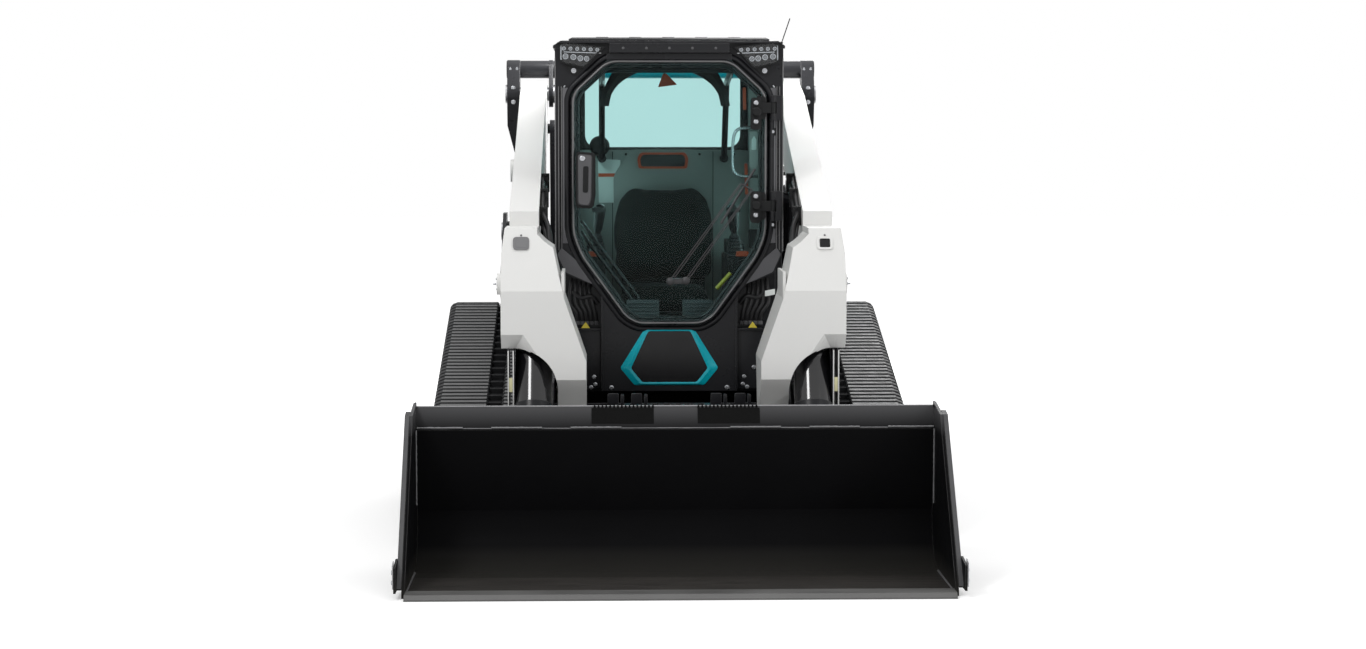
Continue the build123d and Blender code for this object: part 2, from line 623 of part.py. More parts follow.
plate_front, plate_rear = 846.0, 860.0        # carrier plate
lug = 18.0
inner_lug_x = leg_x0 - side_gap - lug
mid_lug_x = leg_x1 + side_gap
outer_lug_x = 2 * tilt_x - mid_lug_x - lug
with BuildPart() as tilt_rods:
    cylinder_rod(tilt_base, tilt_eye, tilt_x, tilt_rod_radius,
                 bore_bottom(tilt_bore_radius) + tilt_retract + side_gap, 38, 44,
                 tilt_x - mid_lug_x - lug - side_gap)
    mirror(about=Plane.YZ)
keep("tilt_rods", tilt_rods.part)


# ---------------------------------------------------------------- bucket and its carrier
carrier_top_z, carrier_low_z, carrier_shoulder_z = 570.0, 165.0, 400.0
carrier_half, carrier_top_half = outer_lug_x + lug, 470.0
carrier_outline = [(carrier_half, carrier_low_z), (carrier_half, carrier_shoulder_z),
                   (carrier_top_half, carrier_shoulder_z), (carrier_top_half, carrier_top_z)]
rod_window = (mid_lug_x + lug, outer_lug_x)
lug_outline = [(plate_rear, carrier_low_z), (1010, 180), (1045, 250), (940, 370), (plate_rear, 385)]
with BuildPart() as carrier:
    front_plate(both_sides(carrier_outline), plate_front, plate_rear)
    front_plate([(-220, 330), (220, 330), (220, 500), (-220, 500)], plate_front, plate_rear, 30,
                mode=Mode.SUBTRACT)
    for side in (1, -1):
        # slot for the rod's eye, open at the shoulder
        block(side * rod_window[0], side * rod_window[1], plate_front, plate_rear, 250,
              carrier_shoulder_z + 10, mode=Mode.SUBTRACT)
        for x0 in (inner_lug_x, mid_lug_x, outer_lug_x):
            side_plate(lug_outline, side * x0, side * (x0 + lug))
        bar_x(bucket_pin, pivot_radius + seat_gap, side * (inner_lug_x - 10), side * (mid_lug_x + lug + 10),
              mode=Mode.SUBTRACT)
    block(-carrier_half, carrier_half, plate_rear, plate_rear + 40, carrier_low_z, carrier_low_z + 14)
keep("carrier", carrier.part)

with BuildPart() as carrier_pins:
    bar_x(bucket_pin, pivot_radius, inner_lug_x - seat_gap, mid_lug_x + lug + seat_gap)
    for x0 in (inner_lug_x - seat_gap - 10, mid_lug_x + lug + seat_gap):
        bar_x(bucket_pin, pivot_radius + 10, x0, x0 + 10)
    mirror(about=Plane.YZ)
keep("carrier_pins", carrier_pins.part)

# bucket: one rolled skin for floor, heel and back, then the leaning top plate
back_top = (716.0, 540.0)
lip_top = (bucket_back_station - 8, bucket_height)
heel_centre = (bucket_back_station - heel_radius, heel_radius)
shell_half = bucket_half_width - bucket_side_plate


def skin_profile(thickness):
    """Side-view outline of the bucket's skin, inside the line being built, open at the front."""
    edge_front = 20.0
    outer = [(edge_front, 0), (heel_centre[0], 0)]
    inner = [(edge_front, thickness), (heel_centre[0], thickness)]
    Line(*yz(outer))
    Line(*yz([outer[0], inner[0]]))
    Line(*yz(inner))
    reach = []
    for radius in (heel_radius, heel_radius - thickness):
        arc = [(heel_centre[0] + radius * math.sin(turn), heel_centre[1] - radius * math.cos(turn))
               for turn in (0, math.radians(48), math.radians(96))]
        ThreePointArc(*yz(arc))
        reach.append(arc[-1])
    inner_top = (back_top[0] - thickness, back_top[1])
    inner_lip = (lip_top[0] - thickness, lip_top[1])
    Polyline(*yz([reach[0], back_top, lip_top, inner_lip, inner_top, reach[1]]))


with BuildPart() as bucket_shell:
    with BuildSketch(Plane.YZ.offset(-shell_half)) as skin:
        with BuildLine():
            skin_profile(bucket_skin)
        make_face()
    extrude(skin.sketch, amount=2 * shell_half)
keep("bucket_shell", bucket_shell.part)

side_front_low, side_front_high = (62.0, 20.0), (545.0, 612.0)
rim_outer_x, cutter_plate = bucket_half_width + 18, 8.0
with BuildPart() as bucket_side:
    with BuildSketch(Plane.YZ.offset(shell_half)) as cheek:
        with BuildLine():
            Polyline(*yz([(heel_centre[0], 0), (60, 0), side_front_low, side_front_high,
                          (lip_top[0], bucket_height + 14), lip_top, back_top,
                          (heel_centre[0] + heel_radius * math.sin(math.radians(96)),
                           heel_centre[1] - heel_radius * math.cos(math.radians(96)))]))
            ThreePointArc(*yz([(heel_centre[0] + heel_radius * math.sin(turn),
                                heel_centre[1] - heel_radius * math.cos(turn))
                               for turn in (math.radians(96), math.radians(48), 0)]))
        make_face()
    extrude(cheek.sketch, amount=bucket_side_plate)
    # flat bar along the sloping front edge, then the bolt-on side cutter
    side_plate([(62, 30), (545, 612), (607, 622), (132, 30)], bucket_half_width, rim_outer_x)
    side_plate([(24, 24), (24, 118), (150, 132), (190, 24)], rim_outer_x, rim_outer_x + cutter_plate)
    mirror(about=Plane.YZ)
keep("bucket_sides", bucket_side.part)

with BuildPart() as cutting_edge:
    side_plate([(0, 0), (0, 5), (18, edge_plate), (edge_depth, edge_plate), (edge_depth, bucket_skin),
                (20, bucket_skin), (20, 0)], -shell_half, shell_half)
keep("cutting_edge", cutting_edge.part)

# rails that the carrier holds: a hooked top rail and a bottom rail, welded to the back of the skin
top_rail = [(728, 475), (plate_front - seat_gap, 545), (plate_front - seat_gap, carrier_top_z + 2),
            (plate_rear + 8, carrier_top_z + 2), (plate_rear + 8, carrier_top_z + 20),
            (plate_front - 6, carrier_top_z + 28), (727.5, 560), (717, 540)]
bottom_rail = [(bucket_back_station + 0.5, 172), (plate_front - seat_gap, 172),
               (plate_front - seat_gap, 204), (bucket_back_station + 0.5, 204)]
with BuildPart() as bucket_mount:
    side_plate(top_rail, -carrier_top_half, carrier_top_half)
    side_plate(bottom_rail, -carrier_top_half, carrier_top_half)
keep("bucket_mount", bucket_mount.part)


# ---------------------------------------------------------------- cab
roof_z = cab_height - roof_thickness
opening_half, opening_top = cab_half_width - door_post, cab_height - 97
door_opening = [(opening_half - 140, opening_top), (opening_half, opening_top - 130), (opening_half, 1262),
                (opening_half - 34, 1170), (177, 915), (130, 888)]
front_outline = [(cab_half_width, roof_z), (cab_half_width, 1180), (cab_half_width - 38, 1090),
                 (nose_half_width, 1026), (nose_half_width, cab_floor_z - 8)]
channel_x0, channel_x1 = opening_half + 14, opening_half + 62
channel_depth = 9.0


with BuildPart() as cab_front_frame:
    front_plate(both_sides(front_outline), cab_front, cab_front + cab_post)
    front_plate(both_sides(door_opening), cab_front, cab_front + cab_post, 30, mode=Mode.SUBTRACT)
    # channels rolled into the pillars
    for side in (1, -1):
        front_plate([(side * channel_x0, 1240), (side * channel_x1, 1240),
                     (side * channel_x1, opening_top - 105), (side * channel_x0, opening_top - 125)],
                    cab_front, cab_front + channel_depth, 8, mode=Mode.SUBTRACT)
keep("cab_front_frame", cab_front_frame.part)

with BuildPart() as roof:
    side_plate([(cab_front, roof_z), (cab_rear + 12, roof_z), (cab_rear + 12, cab_height - 12),
                (cab_rear - 60, cab_height), (cab_front + 60, cab_height), (cab_front - 40, cab_height - 5),
                (cab_front - 40, cab_height - 14), (cab_front, cab_height - 14)],
               -cab_half_width - 8, cab_half_width + 8)
    fillet(roof.edges().filter_by(Axis.Z), 10)
    # sloping shoulders along both sides
    for side in (1, -1):
        front_plate([(side * (cab_half_width + 20), cab_height - 30),
                     (side * (cab_half_width + 20), cab_height + 10),
                     (side * (cab_half_width - 50), cab_height + 10)],
                    cab_front - 60, cab_rear + 30, mode=Mode.SUBTRACT)
keep("cab_roof", roof.part)

cab_inner = cab_half_width - cab_wall
wall_front = cab_front + cab_post
window_top = cab_height - 135
window_outline = [(1850, 1240), (1850, window_top), (cab_rear - 120, window_top), (cab_rear - 120, 1330),
                  (cab_rear - 260, 1150), (1990, 1150)]
with BuildPart() as cab_side:
    side_plate([(wall_front, 700), (wall_front, roof_z), (cab_rear, roof_z), (cab_rear, cab_floor_z),
                (1900, cab_floor_z)], cab_inner, cab_half_width)
    side_plate(window_outline, cab_inner, cab_half_width, 40, mode=Mode.SUBTRACT)
    mirror(about=Plane.YZ)
keep("cab_sides", cab_side.part)

rear_window_half, rear_window_low, rear_window_high = cab_inner - 82, 1602.0, cab_height - 140
rear_outline = [(-rear_window_half, rear_window_low), (rear_window_half, rear_window_low),
                (rear_window_half, rear_window_high), (-rear_window_half, rear_window_high)]
rear_wall_front = cab_rear - cab_wall
with BuildPart() as rear_wall:
    block(-cab_inner, cab_inner, rear_wall_front, cab_rear, cab_floor_z, roof_z)
    front_plate(rear_outline, rear_wall_front, cab_rear, 60, mode=Mode.SUBTRACT)
keep("cab_rear_wall", rear_wall.part)

with BuildPart() as windows:
    side_plate(window_outline, cab_half_width - 10 - glass_thickness, cab_half_width - 10, 40)
    mirror(about=Plane.YZ)
    front_plate(rear_outline, cab_rear - 10 - glass_thickness, cab_rear - 10, 60)
keep("cab_windows", windows.part)

floor_plate, mount_half = 14.0, 45.0
with BuildPart() as cab_floor:
    block(-cab_half_width, cab_half_width, wall_front, cab_rear, cab_floor_z - floor_plate, cab_floor_z)
    for side in (1, -1):
        for station in (1850.0, cab_rear - 120):
            block(side * (cab_half_width - mount_half + 6), side * inner_half, station - mount_half,
                  station + mount_half, 545, cab_floor_z - floor_plate)
keep("cab_floor", cab_floor.part)

apron_outline = [(nose_half_width - 15, deck_z), (cab_inner, deck_z), (cab_inner, 1225),
                 (nose_half_width - 15, 975)]
with BuildPart() as aprons:
    front_plate(apron_outline, wall_front, wall_front + 12)
    mirror(about=Plane.YZ)
keep("front_aprons", aprons.part)

bezel_outer = [(112, 863), (212, 691), (145, 619)]
bezel_inner = [(91, 852), (190, 691), (128, 631)]
bezel_depth = 10.0
with BuildPart() as bezel:
    front_plate(both_sides(bezel_outer), cab_front - bezel_depth, cab_front, 12)
    chamfer(bezel.faces().sort_by(Axis.Y)[0].edges(), 5)
    front_plate(both_sides(bezel_inner), cab_front - bezel_depth, cab_front, 8, mode=Mode.SUBTRACT)
keep("nose_bezel", bezel.part)

lamp_outline = [(cab_half_width - 216, cab_height - 25), (cab_half_width - 21, cab_height - 15.5),
                (cab_half_width - 16, cab_height - 80), (cab_half_width - 128, cab_height - 114),
                (cab_half_width - 150, cab_height - 106)]
with BuildPart() as headlights:
    front_plate(lamp_outline, cab_front - 34, cab_front, 8)
    mirror(about=Plane.YZ)
keep("headlights", headlights.part)

antenna_x = cab_half_width - 58
with BuildPart() as antenna:
    bar_z(antenna_x, cab_rear - 60, 3, cab_height, cab_height + 135)
    bar_z(antenna_x, cab_rear - 60, 12, cab_height, cab_height + 18)
keep("antenna", antenna.part)


# ---------------------------------------------------------------- cab interior
cushion_half, cushion_front, cushion_rear = 240.0, 2240.0, 2690.0
pedestal_half, pedestal_z, cushion_z = 200.0, 880.0, 1000.0
with BuildPart() as seat_base:
    block(-pedestal_half, pedestal_half, cushion_front + 90, cushion_rear + 10, cab_floor_z, pedestal_z)
keep("seat_base", seat_base.part)

with BuildPart() as cushion:
    block(-cushion_half, cushion_half, cushion_front, cushion_rear, pedestal_z, cushion_z)
    fillet(cushion.edges().filter_by(Axis.Z), 60)
    fillet(cushion.faces().sort_by(Axis.Z)[-1].edges(), 30)
keep("seat_cushion", cushion.part)

back_foot_z, back_top_z = cushion_z + seat_gap, 1432.0
with BuildPart() as backrest:
    side_plate([(cushion_rear - 90, back_foot_z), (cushion_rear + 25, back_foot_z),
                (cushion_rear + 110, back_top_z - 32), (cushion_rear + 90, back_top_z),
                (cushion_rear + 20, back_top_z), (cushion_rear - 10, back_top_z - 32)],
               -cushion_half - 10, cushion_half + 10)
    fillet(backrest.edges().filter_by(Axis.X).group_by(Axis.Z)[-1], 14)
keep("seat_back", backrest.part)

console_x0, console_x1, console_z = 268.0, cab_inner - 6, 1130.0
with BuildPart() as consoles:
    side_plate([(2200, cab_floor_z), (2740, cab_floor_z), (2740, console_z), (2215, console_z), (2170, 1085),
                (2170, 800)], console_x0, console_x1)
    mirror(about=Plane.YZ)
keep("consoles", consoles.part)

stick_x, stick_station, stick_base = (console_x0 + console_x1) / 2 - 16, 2265.0, console_z + seat_gap
stick_neck = (stick_x - 5, stick_station - 25, stick_base + 95)
with BuildPart() as joysticks:
    with Locations((stick_x, at(stick_station), stick_base)):
        Cone(38, 20, 60, align=(Align.CENTER, Align.CENTER, Align.MIN))
    bar_between((stick_x, stick_station, stick_base + 55), stick_neck, 12)
    bar_between(stick_neck, (stick_x - 10, stick_station - 50, stick_base + 190), 24)
    mirror(about=Plane.YZ)
keep("joysticks", joysticks.part)

bar_pivot = (cab_rear - 110, 1560.0)
bar_knee, bar_end = (2560.0, cab_height - 165), (2080.0, cab_height - 115)
bar_half, bar_radius, bar_bend = 281.0, 14.0, 50.0
with BuildPart() as seat_bar:
    bar_side = [Vector(bar_half, at(station), z) for station, z in (bar_pivot, bar_knee, bar_end)]
    with BuildLine() as bar_path:
        FilletPolyline(*bar_side, *[Vector(-p.X, p.Y, p.Z) for p in reversed(bar_side)], radius=bar_bend)
    with BuildSketch(Plane(origin=bar_side[0], z_dir=bar_side[1] - bar_side[0])):
        Circle(bar_radius)
    sweep(path=bar_path.wires()[0])
    for x in (-bar_half, bar_half):
        bar_between((x, bar_pivot[0] - 10, bar_pivot[1]), (x, rear_wall_front, bar_pivot[1]), 20)
keep("seat_bar", seat_bar.part)


# ---------------------------------------------------------------- cab door
door_overlap, seal_lip = 14.0, 7.0


def door_outline(grow):
    """The opening's outline moved outwards, as front-view points."""
    with BuildSketch() as outline:
        with BuildLine():
            Polyline(*both_sides(door_opening), close=True)
        make_face()
        offset(amount=grow, kind=Kind.INTERSECTION)
    edge = outline.wire().order_edges()
    return [(edge_start.X, edge_start.Y) for edge_start in (e.position_at(0) for e in edge)]


door_points = door_outline(door_overlap)
seal_front, seal_rear = cab_front - 14, cab_front - 0.5
with BuildPart() as door_glass:
    front_plate(door_points, seal_front - glass_thickness, seal_front, 34)
keep("door_glass", door_glass.part)
with BuildPart() as door_seal:
    front_plate(door_points, seal_front, seal_rear, 34)
    front_plate(door_outline(-seal_lip), seal_front, seal_rear, 26, mode=Mode.SUBTRACT)
keep("door_seal", door_seal.part)

hinge_heights = ((1435.0, 1310.0), (cab_height - 230, cab_height - 335))    # top and foot of each
knuckle_radius, door_pin_radius = 13.0, 6.0
clamp_x0, clamp_x1 = opening_half - 34, opening_half + 9
glass_front = seal_front - glass_thickness
with BuildPart() as door_hinges:
    for high, low in hinge_heights:
        middle = (high + low) / 2
        bar_z(door_hinge_x, door_hinge_station, knuckle_radius, middle - 22, middle + 22)
        block(clamp_x0 + 7, door_hinge_x, door_hinge_station - 8, door_hinge_station + 4, middle - 22,
              middle + 22)
        front_plate([(clamp_x0, low + 4), (clamp_x1, low + 4), (clamp_x1, high - 4), (clamp_x0, high - 4)],
                    door_hinge_station + 4, glass_front, 16)
        bar_z(door_hinge_x, door_hinge_station, door_pin_radius + pin_gap, low, high, mode=Mode.SUBTRACT)
    # latch handle on the far edge
    latch_x0, latch_x1 = -opening_half + 7, -opening_half + 86
    front_plate([(latch_x0, 1366), (latch_x1 - 8, 1366), (latch_x1, 1420), (latch_x1, 1594),
                 (latch_x0, 1594)], glass_front - 12, glass_front, 14)
    front_plate([(latch_x0 + 10, 1372), (latch_x1 - 16, 1372), (latch_x1 - 6, 1430), (latch_x1 - 6, 1586),
                 (latch_x0 + 10, 1586)], glass_front - 46, glass_front - 12, 12)
keep("door_fittings", door_hinges.part)

wiper_front = glass_front - 26
with BuildPart() as wiper:
    bar_between((58, wiper_front, 1045), (330, wiper_front, 1470), 7)
    bar_between((20, wiper_front, 1080), (300, wiper_front, 1500), 5)
    with Locations(Location((45, at(glass_front - 18), 1055), (90, 0, 0))):
        Cylinder(34, 35.4)
keep("wiper", wiper.part)


# ---------------------------------------------------------------- rear body
hood_front, skirt_z = cab_rear + 40, 1125.0
hood_sweep = tailgate_front - gate_gap - hood_hinge[0]      # the hood's rear swings inside this radius


def hood_reach(z, inset=0.0):
    """Station of the hood's rear at a height, clear of the tailgate all the way up."""
    return hood_hinge[0] + math.sqrt(hood_sweep ** 2 - (hood_hinge[1] - z) ** 2) - inset


with BuildPart() as hood:
    side_plate([(hood_front, skirt_z), (hood_front, hood_z - 20), (hood_front + 40, hood_z),
                (frame_rear - 90, hood_z), (hood_reach(hood_z - 60), hood_z - 60),
                (hood_reach(skirt_z), skirt_z)],
               -body_half_width, body_half_width)
    side_plate([(hood_front + hood_plate, skirt_z - 25), (hood_front + hood_plate, hood_z - 26),
                (hood_front + 46, hood_z - hood_plate), (frame_rear - 96, hood_z - hood_plate),
                (hood_reach(hood_z - 70, hood_plate), hood_z - 70),
                (hood_reach(skirt_z, hood_plate), skirt_z - 25)],
               -body_half_width + hood_plate, body_half_width - hood_plate, mode=Mode.SUBTRACT)
    # air slots across the top
    with Locations((0, at(frame_rear - 330), hood_z)):
        with GridLocations(1, 40, 1, 6):
            Box(560, 18, 60, mode=Mode.SUBTRACT)
    for side in (1, -1):
        x0, x1 = hood_hinge_x[0] + knuckle_width + 0.5, hood_hinge_x[1] - 0.5
        bar_x(hood_hinge, 10, side * x0, side * x1)
        block(side * x0, side * x1, hood_hinge[0], hood_front + 30, hood_hinge[1] - 12, hood_hinge[1] + 7)
keep("rear_hood", hood.part)

gate_hinge_heights = (620.0, 1080.0)
grille_z, grille_pitch, grille_rows, grille_depth = 900.0, 46.0, 8, 14.0
with BuildPart() as tailgate:
    front_plate([(-body_half_width, 470), (body_half_width, 470), (body_half_width, 1240), (400, 1330),
                 (-400, 1330), (-body_half_width, 1240)], tailgate_front, overall_length)
    for row in range(grille_rows):
        foot = grille_z + row * grille_pitch
        block(-310, 310, overall_length - grille_depth, overall_length + 1, foot, foot + 22,
              mode=Mode.SUBTRACT)
    for z in gate_hinge_heights:
        bar_z(tailgate_hinge_x, tailgate_hinge_station, 10, z - 30, z + 30)
        block(tailgate_hinge_x, -body_half_width, tailgate_hinge_station - 5, tailgate_hinge_station + 5,
              z - 30, z + 30)
keep("tailgate", tailgate.part)

# fixed halves of the hinges: of the door on the cab's left post, of the tailgate on the right frame side
with BuildPart() as hinge_mounts:
    for high, low in hinge_heights:
        middle = (high + low) / 2
        for z0, z1 in ((low, middle - 24), (middle + 24, high)):
            bar_z(door_hinge_x, door_hinge_station, knuckle_radius, z0, z1)
            block(door_hinge_x, cab_half_width - 8, door_hinge_station - 8, door_hinge_station + 8, z0, z1)
        block(cab_half_width - 30, cab_half_width - 8, door_hinge_station - 8, cab_front, low, high)
        bar_z(door_hinge_x, door_hinge_station, door_pin_radius, low, high)
    for z in gate_hinge_heights:
        for z0, z1 in ((z - 64, z - 30.5), (z + 30.5, z + 64)):
            bar_z(tailgate_hinge_x, tailgate_hinge_station, 10, z0, z1)
            block(tailgate_hinge_x - 5, tailgate_hinge_x + 3, frame_rear, tailgate_hinge_station, z0, z1)
keep("hinge_mounts", hinge_mounts.part)

block_floor = ground_clearance + belly_plate + seat_gap
with BuildPart() as power_block:
    side_plate([(bulkhead_front + 62, block_floor), (frame_rear - 436, block_floor), (frame_rear - 80, 432),
                (frame_rear - 70, 460), (frame_rear - 70, 1080), (bulkhead_front + 62, 1080)], -400, 400)
    chamfer(power_block.edges().filter_by(Axis.Z), 30)
keep("power_block", power_block.part)


# ---------------------------------------------------------------- output
os.makedirs("parts", exist_ok=True)
for name, solid in pieces.items():
    solid.label = name
    export_step(solid, f"parts/{name}.step")
print(len(pieces), "pieces")
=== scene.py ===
"""Looks of the compact track loader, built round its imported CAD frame.

Measures are millimetres, given as x, station and z.  A station runs rearwards from the cutting edge, as in
the model; point() turns the three into metres in the shared frame.
"""
import json
import math
import random

import bmesh
import bpy
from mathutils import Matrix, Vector


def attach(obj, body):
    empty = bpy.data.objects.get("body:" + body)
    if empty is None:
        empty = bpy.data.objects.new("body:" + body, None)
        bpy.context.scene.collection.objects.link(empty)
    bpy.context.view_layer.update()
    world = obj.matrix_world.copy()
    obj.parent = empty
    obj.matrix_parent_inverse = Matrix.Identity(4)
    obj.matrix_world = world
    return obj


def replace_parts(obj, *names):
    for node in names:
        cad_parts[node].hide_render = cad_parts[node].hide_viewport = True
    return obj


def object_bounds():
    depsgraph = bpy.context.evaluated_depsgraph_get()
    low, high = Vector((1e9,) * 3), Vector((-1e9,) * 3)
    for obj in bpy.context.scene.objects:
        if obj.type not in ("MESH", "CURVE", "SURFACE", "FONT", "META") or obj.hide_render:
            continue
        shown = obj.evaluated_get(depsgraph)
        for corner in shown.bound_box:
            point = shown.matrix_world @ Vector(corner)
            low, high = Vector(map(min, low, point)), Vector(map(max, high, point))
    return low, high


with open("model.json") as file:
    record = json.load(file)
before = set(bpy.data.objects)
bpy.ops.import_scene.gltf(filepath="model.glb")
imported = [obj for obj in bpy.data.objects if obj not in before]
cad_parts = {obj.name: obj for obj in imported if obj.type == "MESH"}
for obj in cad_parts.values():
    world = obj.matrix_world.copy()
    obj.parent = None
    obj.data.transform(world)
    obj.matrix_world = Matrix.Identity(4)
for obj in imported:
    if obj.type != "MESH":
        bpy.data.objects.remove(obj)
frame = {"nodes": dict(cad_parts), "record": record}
cad_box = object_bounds()
random.seed(7)
MM = 0.001
FRONT_Y = cad_box[0][1]         # cutting edge
AHEAD, BEHIND, OUT, UP = (0, -1, 0), (0, 1, 0), (1, 0, 0), (0, 0, 1)
SIDES = (1, -1)                 # signs of x on the left and right of the machine


def point(x, station, z):
    """Metres in the shared frame."""
    return Vector((x * MM, FRONT_Y + station * MM, z * MM))


def oblong(x0, x1, z0, z1):
    """Corners of a rectangle."""
    return [(x0, z0), (x1, z0), (x1, z1), (x0, z1)]


# ---------------------------------------------------------------- camera, light and stage
def place_object(name, data, place, turn):
    """Links a new object at a place."""
    obj = bpy.data.objects.new(name, data)
    obj.location = place
    obj.rotation_euler = turn
    bpy.context.collection.objects.link(obj)
    return obj


def look(name, place, heading_deg, pitch_deg, lens_mm):
    """Camera that looks along +Y, turned right by the heading and down by the pitch."""
    data = bpy.data.cameras.new(name)
    data.sensor_width, data.lens = 36.0, lens_mm
    data.clip_end = 200.0
    turn = (math.radians(90 - pitch_deg), 0, math.radians(-heading_deg))
    bpy.context.scene.camera = place_object(name, data, place, turn)


def area_light(name, place, target, size, power):
    """Rectangular lamp that faces a target."""
    data = bpy.data.lights.new(name, "AREA")
    data.shape, data.size, data.size_y = "RECTANGLE", *size
    data.energy = power
    place_object(name, data, place, (Vector(target) - Vector(place)).to_track_quat("-Z", "Y").to_euler())


look("camera", point(-290, -9500, 1692), 1.78, 4.185, 70.23)
bpy.context.scene.view_settings.view_transform = "Standard"
area_light("key_light", (-3.6, -5.5, 6.0), (0, 0, 0.9), (1.8, 1.8), 180)
area_light("fill_light", (4.6, -4.6, 2.6), (0, 0, 0.9), (0.5, 3.4), 74)
area_light("top_light", (0, 0.3, 6.5), (0, 0, 0), (5.0, 5.0), 135)
area_light("link_light", (0, 1.12, 2.5), (0, 1.45, 1.95), (1.0, 0.15), 24)
area_light("rear_light", (2.5, 7.5, 5.0), (0, 0, 1.0), (4.5, 3.0), 190)


def add_node(tree, kind, links=None, **values):
    """Adds a node, sets its attributes or else its inputs by name, and links outputs into its inputs."""
    node = tree.nodes.new(kind)
    for key, value in values.items():
        if hasattr(node, key):
            setattr(node, key, value)
        else:
            node.inputs[key.replace("_", " ")].default_value = value
    for socket, output in (links or {}).items():
        tree.links.new(output, node.inputs[socket])
    return node


def remap(tree, value, **limits):
    """Linear change of range, clamped."""
    return add_node(tree, "ShaderNodeMapRange", {"Value": value}, **limits).outputs["Result"]


def product(tree, first, second):
    """One value times another, clamped."""
    links = {0: first, 1: second}
    return add_node(tree, "ShaderNodeMath", links, operation="MULTIPLY", use_clamp=True).outputs[0]


def seen_directly(tree):
    """Camera, glossy and transmission rays as one 0 to 1 value."""
    path = add_node(tree, "ShaderNodeLightPath")
    total = path.outputs["Is Camera Ray"]
    for name in ("Is Glossy Ray", "Is Transmission Ray"):
        total = add_node(tree, "ShaderNodeMath", {0: total, 1: path.outputs[name]}, operation="ADD",
                         use_clamp=True).outputs[0]
    return total


def new_material(name):
    """Material with nodes, its tree and its principled shader."""
    material = bpy.data.materials.new(name)
    material.use_nodes = True
    return material, material.node_tree, material.node_tree.nodes["Principled BSDF"]


def show(tree, node):
    """Makes a node the surface of its material."""
    tree.links.new(node.outputs[0], tree.nodes["Material Output"].inputs["Surface"])


def build_world(ambient=0.42):
    """White where it is seen, dimmer where it lights."""
    world = bpy.data.worlds.new("studio")
    bpy.context.scene.world = world
    world.use_nodes = True
    tree = world.node_tree
    background = tree.nodes["Background"]
    background.inputs["Color"].default_value = (1, 1, 1, 1)
    strength = remap(tree, seen_directly(tree), To_Min=ambient, To_Max=1.0)
    tree.links.new(strength, background.inputs["Strength"])


def build_floor(half=40.0, near_glow=0.34, far_glow=0.75, near_radius=2.2, far_radius=6.5):
    """Pale floor: it keeps the object's shadow and turns white further out."""
    mesh = bpy.data.meshes.new("floor")
    mesh.from_pydata([(x, y, 0) for x, y in oblong(-half, half, -half, half)], [], [(0, 1, 2, 3)])
    floor = place_object("floor", mesh, (0, 0, -0.001), (0, 0, 0))
    material, tree, shader = new_material("floor_white")
    for socket, value in (("Base Color", (0.86, 0.86, 0.86, 1)), ("Roughness", 0.85),
                          ("Specular IOR Level", 0.0)):
        shader.inputs[socket].default_value = value
    place = add_node(tree, "ShaderNodeTexCoord").outputs["Object"]
    radius = add_node(tree, "ShaderNodeVectorMath", {0: place}, operation="LENGTH").outputs["Value"]
    glow = remap(tree, radius, From_Min=near_radius, From_Max=far_radius, To_Min=near_glow, To_Max=far_glow)
    shine = add_node(tree, "ShaderNodeEmission", {"Strength": product(tree, seen_directly(tree), glow)})
    show(tree, add_node(tree, "ShaderNodeAddShader", {0: shader.outputs[0], 1: shine.outputs[0]}))
    mesh.materials.append(material)


build_world()
build_floor()


# ---------------------------------------------------------------- materials
WEAR_AND_HIGHLIGHT_REACH = 4.0                # reach of the wear and the painted highlight along an edge
DUST_TOP, DUST = 0.9, (0.24, 0.22, 0.19)
FINISH, SLOT_OF = {}, {}        # every material, and the CAD slot that stands for it


def blend(tree, factor, first, second):
    """Colour between two others, each of them a colour output or a plain colour."""
    links, colours = {"Factor": factor}, {}
    for socket, colour in (("A", first), ("B", second)):
        if isinstance(colour, tuple):
            colours[socket] = (*colour, 1)
        else:
            links[socket] = colour
    return add_node(tree, "ShaderNodeMix", links, data_type="RGBA", **colours).outputs["Result"]


